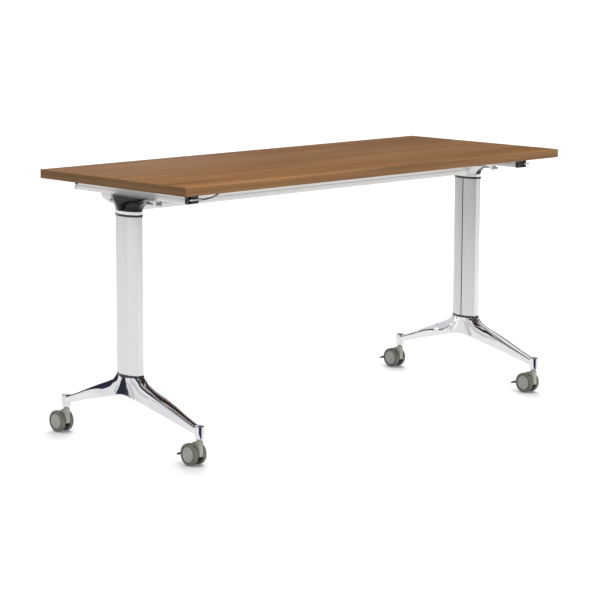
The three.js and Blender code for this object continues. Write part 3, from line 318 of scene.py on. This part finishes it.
def edging():
    """Edge band in the same wood: its grain follows each side, its end faces are painted darker as painted
    shade, and its upper edge carries a painted highlight.
    """
    finish = Finish("wood_edging", Specular_IOR_Level=0.1)
    front, streaks, pores = wood_grain(finish, FRONT_SHADES)
    end = wood_grain(finish, SHADED_END_SHADES, True)[0]
    across = finish.range(finish.part(finish.normal("X"), "ABSOLUTE"), 0.6, 0.8, 0, 1)
    # Painted shade: faces that look along X take the darker end shades
    side = finish.mix(across, front, end)
    # Painted highlight: the band is painted lighter towards its top edge
    arris_highlight = finish.range(finish.height(), ARRIS_HIGHLIGHT_LOW, ARRIS_HIGHLIGHT_HIGH, 0, 1)
    light = finish.mix(arris_highlight, (1, 1, 1, 1), (1.34, 1.34, 1.34, 1))
    finish.colour(finish.mix(1.0, side, light, "MULTIPLY"))
    finish.roughness(streaks, 0.3, 0.7, 0.4, 0.54)
    finish.bump(pores, 0.00012, 0.25)
    return finish.material


def silver(name, tone, metallic, rough, stretch, groove_shadow=False):
    """Satin silver with a fine drawn grain along the part, and a painted shadow in a column's groove."""
    finish = Finish(name, Metallic=metallic, Roughness=rough)
    grain = finish.noise(1.0, 3.0, 0.6, stretch=stretch)
    cloud = finish.noise(9.0, 2.0)
    low = tuple(value * 0.965 for value in tone[:3]) + (1,)
    colour = finish.ramp(finish.mix(0.35, grain, cloud), [(0.3, low), (0.7, tone)])
    finish.colour(painted_groove_shadow(finish, colour) if groove_shadow else colour)
    finish.roughness(grain, 0.3, 0.7, rough - 0.05, rough + 0.05)
    finish.bump(grain, 0.00002, 0.2)
    return finish.material


def painted_groove_shadow(finish, colour):
    """Paints shadow into the groove that runs down the middle of a column's inner face."""
    low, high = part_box("right_column")
    middle = (low + high) / 2
    from_middle = finish.stretched((1, 1, 1), (0, -middle.y, 0))
    across = finish.part(finish.split(from_middle, "Y"), "ABSOLUTE")
    groove_shadow_mask = finish.range(across, GROOVE_HALF + GROOVE_FADE, GROOVE_HALF, 0, 1)
    out = finish.part(finish.split(finish.place, "X"), "ABSOLUTE")
    inner = finish.range(out, middle.x, middle.x - GROOVE_FADE, 0, 1)
    # Painted shadow: the groove on the inner face is painted dark
    return finish.mix(inner, colour, finish.mix(groove_shadow_mask, colour, GROOVE_SHADOW_TONE))


def polished():
    """Mirror-polished casting with a trace of cloudiness."""
    finish = Finish("polished_aluminium", Metallic=1.0)
    cloud = finish.noise(22.0, 3.0)
    finish.colour(finish.ramp(cloud, [(0.3, (0.6, 0.605, 0.615, 1)), (0.7, (0.66, 0.66, 0.665, 1))]))
    finish.roughness(cloud, 0.3, 0.7, 0.03, 0.06)
    finish.bump(finish.noise(70.0, 1.0, stretch=(1, 1, 0.35)), 0.00006)
    return finish.material


def moulded(name, low, high, rough, grain_size, grain_depth, shine=0.5):
    """Moulded plastic or rubber with a fine surface grain and faint mottling."""
    finish = Finish(name, Specular_IOR_Level=shine)
    grain = finish.noise(grain_size, 2.0, 0.5)
    cloud = finish.noise(35.0, 3.0, 0.6)
    finish.colour(finish.ramp(cloud, [(0.35, low), (0.65, high)]))
    finish.roughness(grain, 0.3, 0.7, rough - 0.06, rough + 0.06)
    finish.bump(grain, grain_depth, 0.35)
    return finish.material


def steel(name, low, high):
    """Plated or blackened steel with a short brushed grain."""
    finish = Finish(name, Metallic=1.0)
    grain = finish.noise(1.0, 3.0, 0.6, stretch=(90, 1400, 1400))
    cloud = finish.noise(60.0, 3.0)
    finish.colour(finish.ramp(cloud, [(0.3, (low, low, low * 0.98, 1)), (0.7, (high, high, high * 0.97, 1))]))
    finish.roughness(grain, 0.3, 0.7, 0.24, 0.4)
    finish.bump(grain, 0.00001, 0.2)
    return finish.material


def caster_body():
    """Grey moulding whose lowest part, at the axle between the wheels, is painted black as painted shade, with
    its reflection dimmed too.
    """
    finish = Finish("caster_grey")
    grain = finish.noise(1400, 2.0, 0.5)
    cloud = finish.noise(35.0, 3.0, 0.6)
    grey = finish.ramp(cloud, [(0.35, linear(132, 132, 125)), (0.65, linear(142, 142, 135))])
    # Painted shade: black below a height, and a dimmed reflection there
    low = finish.range(finish.height(), FORK_SHADE_HIGH, FORK_SHADE_LOW, 0, 1)
    finish.colour(finish.mix(low, grey, (0.004, 0.004, 0.004, 1)))
    finish.link(finish.mix(low, (1, 1, 1, 1), (0.1, 0.1, 0.1, 1)), finish.shader.inputs["Specular Tint"])
    finish.roughness(grain, 0.3, 0.7, 0.44, 0.56)
    finish.bump(grain, 0.00005, 0.35)
    return finish.material


def black(level):
    return (level, level, level * 1.05, 1)


finishes = {
    "laminate": laminate(),
    "edging": edging(),
    "anodised": silver("satin_anodised", (0.735, 0.725, 0.71, 1), 0.0, 0.42, (700, 6, 700)),
    "column": silver("satin_column", (0.6, 0.6, 0.586, 1), 0.2, 0.45, (420, 420, 4), True),
    "polished": polished(),
    "head_casting": silver("satin_casting", (0.7, 0.7, 0.69, 1), 0.1, 0.4, (260, 260, 260)),
    "black_gloss": moulded("black_gloss", black(0.002), black(0.004), 0.1, 900, 0.000004, 0.2),
    "black_plastic": moulded("black_moulded", black(0.008), black(0.016), 0.42, 1500, 0.00005),
    "gasket": moulded("black_gasket", black(0.008), black(0.014), 0.38, 1800, 0.00004),
    "cable": moulded("cable_sheath", linear(60, 57, 51), linear(72, 68, 61), 0.45, 2200, 0.00004),
    "steel": steel("plated_steel", 0.5, 0.64),
    "blackened_steel": steel("blackened_steel", 0.34, 0.42),
    "caster_body": caster_body(),
    "caster_wheel": moulded("caster_disc", linear(125, 125, 120), linear(134, 134, 129), 0.52, 1300, 0.00005),
}
tyre_finish = moulded("caster_tyre", linear(80, 81, 71), linear(92, 93, 82), 0.6, 1700, 0.00006)
wall_finish = moulded("caster_wall", linear(71, 72, 67), linear(80, 81, 75), 0.6, 1700, 0.00006)


def dress(piece, slot):
    """Gives a piece the finish of a slot of the record."""
    piece.data.materials.clear()
    piece.data.materials.append(finishes[slot])


# Mesh helpers

def mesh_piece(name, points, faces):
    mesh = bpy.data.meshes.new(name)
    mesh.from_pydata(points, [], faces)
    mesh.validate()
    mesh.shade_smooth()
    piece = bpy.data.objects.new(name, mesh)
    scene.collection.objects.link(piece)
    return piece


def soften(piece, width, degrees):
    """Welds a faceted part, joins its flats and rounds the edges that turn by more than an angle."""
    weld = piece.modifiers.new("weld", "WELD")
    weld.merge_threshold = WELD
    flats = piece.modifiers.new("flats", "DECIMATE")
    flats.decimate_type = "DISSOLVE"
    flats.angle_limit = FLAT_ANGLE
    bevel = piece.modifiers.new("edges", "BEVEL")
    bevel.width = width * MM
    bevel.segments = 2
    bevel.limit_method = "ANGLE"
    bevel.angle_limit = math.radians(degrees)
    bevel.harden_normals = True
    for polygon in piece.data.polygons:
        polygon.use_smooth = True


def keep_crisp(piece, degrees):
    """Leaves edges sharp where the surface turns by more than an angle."""
    crisp = piece.modifiers.new("crisp", "EDGE_SPLIT")
    crisp.split_angle = math.radians(degrees)


def lathe(profile, segments):
    """Points and faces of a closed profile of (radius, along X) turned about the X axis."""
    points = []
    rings = []
    for radius, x in profile:
        if radius == 0:
            rings.append([len(points)])
            points.append((x, 0, 0))
            continue
        ring = []
        for step in range(segments):
            angle = 2 * math.pi * step / segments
            ring.append(len(points))
            points.append((x, radius * math.cos(angle), radius * math.sin(angle)))
        rings.append(ring)
    faces = []
    for first, second in zip(rings, rings[1:]):
        for step in range(segments):
            after = (step + 1) % segments
            corners = [first[step % len(first)], second[step % len(second)],
                       second[after % len(second)], first[after % len(first)]]
            face = list(dict.fromkeys(corners))
            faces.append(face)
    return points, faces


def arc(centre_radius, centre_x, radius, from_degrees, to_degrees, steps):
    """Points of a rounded corner in (radius, along X)."""
    out = []
    for step in range(steps + 1):
        angle = math.radians(from_degrees + (to_degrees - from_degrees) * step / steps)
        out.append((centre_radius + radius * math.cos(angle), centre_x + radius * math.sin(angle)))
    return out


# Wheels: a soft tyre with rounded shoulders round a shallow domed disc

def wheel_profile(radius, width):
    """Outline of (radius, along X) in millimetres, from the bore round the tread to the disc's middle."""
    soft = WHEEL_SHOULDER
    inner = WHEEL_INNER_ROUND
    bore_end = width - WHEEL_BORE_END
    groove = width - WHEEL_GROOVE
    profile = [(0, bore_end), (WHEEL_BORE, bore_end)]
    profile += [(WHEEL_BORE, WHEEL_CHAMFER), (WHEEL_BORE + WHEEL_CHAMFER, 0)]
    profile += [(radius - inner, 0)]
    profile += arc(radius - inner, inner, inner, -90, 0, 4)[1:]
    profile += arc(radius - soft, width - soft, soft, 0, 90, 7)
    profile += [(WHEEL_FACE + 0.5, width), (WHEEL_FACE, width - 0.3)]
    profile += [(WHEEL_FACE - 0.2, groove), (WHEEL_DISC + 0.2, groove)]
    profile += [(WHEEL_DISC, width - 0.9), (WHEEL_DISC - 0.6, width - 0.55)]
    profile += [(WHEEL_DISC * share, width - depth) for share, depth in WHEEL_DOME]
    return profile


def build_wheels():
    for name in sorted(nodes):
        if "_wheel_" not in name:
            continue
        low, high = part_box(name)
        centre = (low + high) / 2
        radius = (high.z - low.z) / 2 / MM
        width = (high.x - low.x) / MM
        profile = wheel_profile(radius, width)
        points, faces = lathe(profile, WHEEL_SEGMENTS)
        side = 1 if name.endswith("_b") else -1
        start = low.x if side > 0 else high.x
        placed = [(start + side * x * MM, centre.y + y * MM, centre.z + z * MM) for x, y, z in points]
        if side > 0:
            faces = [face[::-1] for face in faces]
        piece = mesh_piece(name + "_fine", placed, faces)
        for finish in (tyre_finish, finishes["caster_wheel"], wall_finish):
            piece.data.materials.append(finish)
        for polygon in piece.data.polygons:
            middle = polygon.center
            reach = math.hypot(middle.y - centre.y, middle.z - centre.z) / MM
            outward = abs(middle.x - start) > 0.8 * width * MM
            if outward and reach < WHEEL_WALL:
                polygon.material_index = 1 if reach < WHEEL_DISC else 2
        keep_crisp(piece, 40)
        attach(piece, body_of[name])
        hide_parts(name)


# Feet: a hub that takes the column's octagon and flows into two arched arms

def smooth_line(points, at):
    """Height of a smooth curve through points, without overshoot."""
    if at <= points[0][0]:
        return points[0][1]
    slopes = [(b[1] - a[1]) / (b[0] - a[0]) for a, b in zip(points, points[1:])]
    tangents = [0.0 if points[0][0] == 0 else slopes[0]]
    for before, after in zip(slopes, slopes[1:]):
        same = before * after > 0
        tangents.append(2 * before * after / (before + after) if same else 0.0)
    tangents.append(slopes[-1])
    for index, (a, b) in enumerate(zip(points, points[1:])):
        if at <= b[0]:
            span = b[0] - a[0]
            t = (at - a[0]) / span
            start = (1 + 2 * t) * (1 - t) ** 2 * a[1] + t * (1 - t) ** 2 * span * tangents[index]
            return start + t * t * (3 - 2 * t) * b[1] + t * t * (t - 1) * span * tangents[index + 1]
    return points[-1][1]


def straight_line(points, at):
    for a, b in zip(points, points[1:]):
        if at <= b[0]:
            return a[1] + (b[1] - a[1]) * (at - a[0]) / (b[0] - a[0])
    return points[-1][1]


def smooth_step(value):
    value = min(1.0, max(0.0, value))
    return value * value * (3 - 2 * value)


def foot_half_section(reach, top_limit):
    """Half of the section across an arm, from the middle of its top to the middle of its sole.

    The section is a superellipse that grows squarer towards the toe."""
    sole = smooth_line(FOOT_SOLE, reach)
    power = smooth_line(FOOT_SQUARENESS, reach)
    half = smooth_line(FOOT_HALF, reach)
    hub_end = FOOT_HUB[-1][0]
    if reach < hub_end:
        hub_half = straight_line(FOOT_HUB, reach)
        half = max(half, hub_half)
        share = min(0.9999, hub_half / half)
        top = top_limit
        height = (top - sole) / (1 - share * share) ** (1 / power)
    else:
        crown = smooth_line(FOOT_RIDGE, reach)
        height = crown - sole
        top = min(top_limit, crown - 0.0005 * height)
    top_share = (top - sole) / height
    levels = [top_share]
    low_end = min(0.6, 0.7 * top_share)
    turn_low = math.asin(low_end ** (power / 2))
    turn_top = math.asin(min(1.0, top_share ** (power / 2)))
    for step in range(FOOT_SIDE_STEPS - 1, -1, -1):
        turn = turn_low + (turn_top - turn_low) * step / FOOT_SIDE_STEPS
        levels.append(math.sin(turn) ** (2 / power))
    for step in range(FOOT_LOW_STEPS - 1, 0, -1):
        levels.append(low_end * step / FOOT_LOW_STEPS)
    side = [(half * math.sqrt(max(0.0, 1 - level ** power)), sole + level * height) for level in levels]
    side.append((half, sole + FOOT_FILLET))
    side.append((half - 0.3 * FOOT_FILLET, sole + 0.3 * FOOT_FILLET))
    side.append((half - FOOT_FILLET, sole))
    side = [facet_pushed(x, z, reach, sole, top_limit) for x, z in side]
    edge = side[0][0]
    return [(0, top), (edge / 2, top)] + side + [(half / 2, sole), (0, sole)]


def facet_pushed(x, z, reach, sole, top):
    """Brings the outer face of the hub out to a triangular facet that widens downwards."""
    down = (top - z) / (top - smooth_line(FOOT_SOLE, 0))
    if down <= 0 or x < 8:
        return x, z
    edge = FOOT_FACET_TOP + (FOOT_FACET_FOOT - FOOT_FACET_TOP) * min(1.0, down)
    inside = smooth_step((edge + FOOT_FACET_EDGE / 2 - reach) / FOOT_FACET_EDGE)
    crown = FOOT_FACET_CROWN * edge * max(0.0, 1 - (reach / edge) ** 2)
    plane = FOOT_HUB[0][1] + FOOT_FACET_PROUD * min(1.0, down) + crown
    near_sole = z < sole + 0.6 * FOOT_FILLET
    wanted = plane - FOOT_FILLET if z <= sole else plane - 0.3 * FOOT_FILLET if near_sole else plane
    return x + max(0.0, wanted - x) * inside, z


def boss_points(y, low):
    """A turned boss with rounded edges that takes the caster's stem."""
    inner = BOSS_RADIUS - BOSS_ROUND
    high = low + BOSS_HEIGHT
    profile = [(0, low), (BOSS_RADIUS - 1, low), (BOSS_RADIUS, low + 1)]
    profile += arc(inner, high - BOSS_ROUND, BOSS_ROUND, 0, 90, 6)
    profile.append((0, high))
    points, faces = lathe(profile, BOSS_SEGMENTS)
    return [(py, y + pz, px) for px, py, pz in points], faces


def build_foot(name):
    low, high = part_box(name)
    middle = (low + high) / 2
    top = high.z / MM
    toe = (high.y - low.y) / 2 / MM - BOSS_RADIUS
    reaches = []
    end = FOOT_RIDGE[-1][0]
    for step in range(FOOT_SECTIONS):
        share = step / (FOOT_SECTIONS - 1)
        reaches.append(end * (0.55 * share + 0.45 * share * share))
    signed = [-reach for reach in reversed(reaches[1:])] + reaches
    points = []
    rings = []
    for reach in signed:
        half = foot_half_section(abs(reach), top)
        ring = half + [(-x, z) for x, z in reversed(half[1:-1])]
        rings.append([len(points) + index for index in range(len(ring))])
        points += [(x, reach, z) for x, z in ring]
    faces = []
    count = len(rings[0])
    for first, second in zip(rings, rings[1:]):
        for index in range(count):
            after = (index + 1) % count
            faces.append((first[index], first[after], second[after], second[index]))
    faces.append(tuple(reversed(rings[0])))
    faces.append(tuple(rings[-1]))
    for side in (-1, 1):
        boss, boss_faces = boss_points(side * toe, low.z / MM)
        start = len(points)
        points += boss
        faces += [tuple(start + index for index in face) for face in boss_faces]
    placed = [(middle.x + x * MM, middle.y + y * MM, z * MM) for x, y, z in points]
    piece = mesh_piece(name + "_fine", placed, faces)
    piece.data.materials.append(finishes["polished"])
    keep_crisp(piece, 42)
    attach(piece, body_of[name])
    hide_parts(name)
    return piece


# Parts that keep their modelled shape get finishes and softened edges

# Width of the rounding in millimetres, and the least angle in degrees that counts as an edge
EDGES = {
    "laminate": (0.1, 32), "edging": (0.1, 50), "anodised": (0.3, 32), "column": (0.5, 12),
    "polished": (0.9, 32), "head_casting": (0.4, 20), "black_gloss": (0.4, 21),
    "black_plastic": (0.4, 32), "gasket": (0.4, 12),
    "cable": (0.1, 60), "steel": (0.2, 32), "blackened_steel": (0.2, 32), "caster_body": (0.6, 32),
    "caster_wheel": (0.5, 32),
}


def dress_nodes():
    for name, piece in nodes.items():
        slot = slot_of[name]
        dress(piece, slot)
        soften(piece, *EDGES[slot])


# Screws that hold the rails, the tilt brackets and the cable's clips

def screw_profile(radius):
    """A pan head with a round socket, seen along its axis from the middle outwards."""
    tall = 0.5 * radius
    socket = 0.42 * radius
    return [
        (0, 0.3 * tall), (socket, 0.3 * tall), (socket, 0.96 * tall), (1.15 * socket, tall),
        (0.72 * radius, 0.93 * tall), (0.92 * radius, 0.66 * tall), (radius, 0.25 * tall), (radius, 0), (0, 0),
    ]


def build_screws(host, places, radius):
    """Screw heads that hang below a host at places given in millimetres."""
    points = []
    faces = []
    head, head_faces = lathe(screw_profile(radius), SCREW_SEGMENTS)
    for x, y, z in places:
        start = len(points)
        points += [((x + pz) * MM, (y + py) * MM, (z - px) * MM) for px, py, pz in head]
        faces += [[start + index for index in face] for face in head_faces]
    piece = mesh_piece(host + "_screws", points, faces)
    piece.data.materials.append(finishes["steel"])
    keep_crisp(piece, 35)
    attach(piece, body_of[host])


def build_fasteners():
    for side in ("left", "right"):
        low, high = (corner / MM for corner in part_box(side + "_rail"))
        middle = (low.x + high.x) / 2
        build_screws(side + "_rail", [(middle, y, low.z) for y in RAIL_SCREWS], RAIL_SCREW_RADIUS)
        inward = 1 if side == "left" else -1
        under = low.z - BRACKET_BELOW_RAIL
        places = [(middle + inward * x, y, under) for x, y in BRACKET_SCREWS]
        build_screws(side + "_tilt_bracket", places, BRACKET_SCREW_RADIUS)
    for name in nodes:
        if name.endswith("_cable_clip"):
            low, high = (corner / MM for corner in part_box(name))
            x = (low.x + high.x) / 2
            under = high.z - CLIP_EAR
            places = [(x, y, under) for y in (low.y + CLIP_SCREW_INSET, high.y - CLIP_SCREW_INSET)]
            build_screws(name, places, CLIP_SCREW_RADIUS)


# Floor, light and camera

def build_floor():
    (left, front), (right, back) = FLOOR_LOW, FLOOR_HIGH
    corners = [(left, front, 0), (right, front, 0), (right, back, 0), (left, back, 0)]
    floor = mesh_piece("floor", corners, [(0, 1, 2, 3)])
    finish = Finish("pale_floor", Roughness=0.9, Specular_IOR_Level=0.0)
    finish.shader.inputs["Base Color"].default_value = (FLOOR_TONE, FLOOR_TONE, FLOOR_TONE * 1.005, 1)
    seen = finish.add("ShaderNodeLightPath").outputs["Is Camera Ray"]
    glow = finish.range(seen, 0, 1, FLOOR_GLOW, FLOOR_SEEN)
    finish.link(glow, finish.shader.inputs["Emission Strength"])
    # Painted contact shadow: the floor's glow is darkened and turned bluish where ambient occlusion finds
    # things close above it
    contact_occlusion = finish.add("ShaderNodeAmbientOcclusion")
    contact_occlusion.inputs["Distance"].default_value = CONTACT_REACH
    painted_contact_shadow = finish.ramp(contact_occlusion.outputs["AO"], [(0.35, (0.28, 0.3, 0.34, 1)), (0.8, (1, 1, 1, 1))])
    finish.link(painted_contact_shadow, finish.shader.inputs["Emission Color"])
    floor.data.materials.append(finish.material)
    return floor


def area_light(name, at, towards, size, power):
    """A round light that lights what is matt and shows in no mirror."""
    data = bpy.data.lights.new(name, "AREA")
    data.shape = "DISK"
    data.size = size
    data.energy = power
    lamp = bpy.data.objects.new(name, data)
    lamp.location = at
    lamp.rotation_euler = (Vector(towards) - Vector(at)).to_track_quat("-Z", "Y").to_euler()
    lamp.visible_camera = False
    lamp.visible_glossy = False
    scene.collection.objects.link(lamp)
    return lamp


def named_group(name, pieces):
    """A collection that a light is linked to."""
    group = bpy.data.collections.new(name)
    for piece in pieces:
        group.objects.link(piece)
    return group


def mirror_card(piece):
    """A pale card that shows in one polished piece and lights nothing else."""
    card = area_light("card", CARD_AT, CARD_TOWARDS, CARD_WIDE, CARD_POWER)
    card.data.shape = "RECTANGLE"
    card.data.size_y = CARD_TALL
    card.visible_glossy = True
    card.visible_diffuse = False
    card.light_linking.receiver_collection = named_group("card_receivers", [piece])


def floor_light(floor):
    """A large light from behind that falls on the floor alone and is blocked by the casters alone."""
    lamp = area_light("back", *BACK, FLOOR_POWER)
    casters = [piece for piece in scene.objects if piece.name.split("_")[0] in ("front", "rear")]
    lamp.light_linking.receiver_collection = named_group("back_receivers", [floor])
    lamp.light_linking.blocker_collection = named_group("back_blockers", casters)


class World:
    """Short calls for the nodes that shade the surroundings by direction."""

    def __init__(self):
        world = bpy.data.worlds.new("studio")
        world.use_nodes = True
        scene.world = world
        self.tree = world.node_tree
        self.tree.nodes.clear()
        self.towards = self.node("ShaderNodeTexCoord").outputs["Generated"]

    def node(self, kind, **settings):
        node = self.tree.nodes.new(kind)
        for key, value in settings.items():
            setattr(node, key, value)
        return node

    def link(self, output, socket):
        self.tree.links.new(output, socket)

    def along(self, axis):
        """How far a direction points along an axis."""
        node = self.node("ShaderNodeVectorMath", operation="DOT_PRODUCT")
        self.link(self.towards, node.inputs[0])
        node.inputs[1].default_value = axis
        return node.outputs["Value"]

    def fade(self, value, low, high):
        node = self.node("ShaderNodeMapRange", interpolation_type="SMOOTHSTEP")
        node.inputs["From Min"].default_value = low
        node.inputs["From Max"].default_value = high
        self.link(value, node.inputs["Value"])
        return node.outputs["Result"]

    def before(self, degrees):
        """One on the near side of an azimuth, as facing() counts it, and nothing beyond it."""
        return self.fade(self.along(facing(degrees - 90)), -PANEL_FADE, PANEL_FADE)

    def beyond(self, degrees):
        return self.fade(self.along(facing(degrees + 90)), -PANEL_FADE, PANEL_FADE)

    def times(self, first, second):
        node = self.node("ShaderNodeMath", operation="MULTIPLY")
        self.link(first, node.inputs[0])
        self.link(second, node.inputs[1])
        return node.outputs[0]

    def over(self, base, colour, factor):
        node = self.node("ShaderNodeMix", data_type="RGBA")
        self.link(factor, node.inputs[0])
        if isinstance(base, bpy.types.NodeSocket):
            self.link(base, node.inputs[6])
        else:
            node.inputs[6].default_value = base
        node.inputs[7].default_value = colour
        return node.outputs[2]

    def background(self, strength, colour):
        node = self.node("ShaderNodeBackground")
        node.inputs["Strength"].default_value = strength
        if isinstance(colour, bpy.types.NodeSocket):
            self.link(colour, node.inputs["Color"])
        else:
            node.inputs["Color"].default_value = colour
        return node.outputs[0]

    def choose(self, factor, first, second):
        node = self.node("ShaderNodeMixShader")
        self.link(factor, node.inputs[0])
        self.link(first, node.inputs[1])
        self.link(second, node.inputs[2])
        return node.outputs[0]


def facing(degrees):
    """Level direction, turned from -X towards +Y."""
    angle = math.radians(degrees)
    return (-math.cos(angle), math.sin(angle), 0)


def build_world():
    """White to the camera, even light for matt surfaces, a dark studio with light panels for mirrors."""
    world = World()
    up = world.along((0, 0, 1))
    studio = world.over(NIGHT, GREY, world.fade(up, 0.84, 0.95))
    behind = world.times(world.fade(world.along(facing(150)), 0.45, 0.6), world.fade(up, 0.42, 0.5))
    studio = world.over(studio, GREY, behind)
    above = world.times(world.fade(world.along(facing(153)), 0.45, 0.55), world.fade(up, 0.53, 0.57))
    studio = world.over(studio, WHITE, above)
    left = world.times(world.before(47), world.beyond(-30))
    left = world.times(left, world.fade(up, 0.67, 0.59))
    studio = world.over(studio, WHITE, left)
    far = world.times(world.before(41), world.beyond(-30))
    far = world.times(far, world.fade(up, 0.3, 0.2))
    studio = world.over(studio, PALE, far)
    sheen = world.times(world.beyond(118), world.before(131))
    sheen = world.times(sheen, world.times(world.fade(up, 0.04, 0.07), world.fade(up, 0.45, 0.35)))
    studio = world.over(studio, PALE, sheen)
    shelf = world.times(world.beyond(125), world.before(143))
    shelf = world.times(shelf, world.times(world.fade(up, 0.17, 0.185), world.fade(up, 0.24, 0.225)))
    studio = world.over(studio, WHITE, shelf)
    backdrop = world.times(world.beyond(112), world.before(172))
    backdrop = world.times(backdrop, world.fade(up, 0.03, 0.0))
    studio = world.over(studio, WHITE, backdrop)
    strip = world.times(world.beyond(47), world.before(53))
    front = world.fade(world.along(facing(-66.5)), 0.8, 0.84)
    low = world.times(world.fade(up, -0.015, -0.045), world.fade(strip, 1.0, 0.0))
    low = world.times(low, world.fade(front, 1.0, 0.0))
    studio = world.over(studio, WHITE, low)
    path = world.node("ShaderNodeLightPath")
    soft = world.over((1, 1, 1, 1), (0.9, 0.9, 0.9, 1), world.fade(world.along(facing(-45)), 0.5, 0.95))
    even = world.background(AMBIENT, soft)
    seen = world.choose(path.outputs["Is Glossy Ray"], even, world.background(1.0, studio))
    seen = world.choose(path.outputs["Is Camera Ray"], seen, world.background(SKY_SEEN, (1, 1, 1, 1)))
    output = world.node("ShaderNodeOutputWorld")
    world.link(seen, output.inputs["Surface"])


def build_camera():
    yaw, pitch, roll = CAMERA_YAW, CAMERA_PITCH, CAMERA_ROLL
    ahead = Vector((math.sin(yaw) * math.cos(pitch), math.cos(yaw) * math.cos(pitch), -math.sin(pitch)))
    right = Vector((math.cos(yaw), -math.sin(yaw), 0))
    up = right.cross(ahead)
    tilted_right = right * math.cos(roll) + up * math.sin(roll)
    tilted_up = up * math.cos(roll) - right * math.sin(roll)
    turn = Matrix((tilted_right, tilted_up, -ahead)).transposed().to_4x4()
    data = bpy.data.cameras.new("camera")
    data.sensor_width = SENSOR
    data.lens = CAMERA_FOCAL / FRAME_PIXELS * SENSOR
    data.clip_end = 200
    camera = bpy.data.objects.new("camera", data)
    camera.matrix_world = Matrix.Translation(CAMERA_AT) @ turn
    scene.collection.objects.link(camera)
    scene.camera = camera
    scene.view_settings.view_transform = "Standard"


dress_nodes()
build_wheels()
build_foot("left_foot")
right_foot = build_foot("right_foot")
build_fasteners()
floor = build_floor()
build_world()
area_light("overhead", *OVERHEAD, KEY_POWER)
area_light("front", *FRONT, FRONT_POWER)
area_light("side", *SIDE, SIDE_POWER)
mirror_card(right_foot)
floor_light(floor)
build_camera()
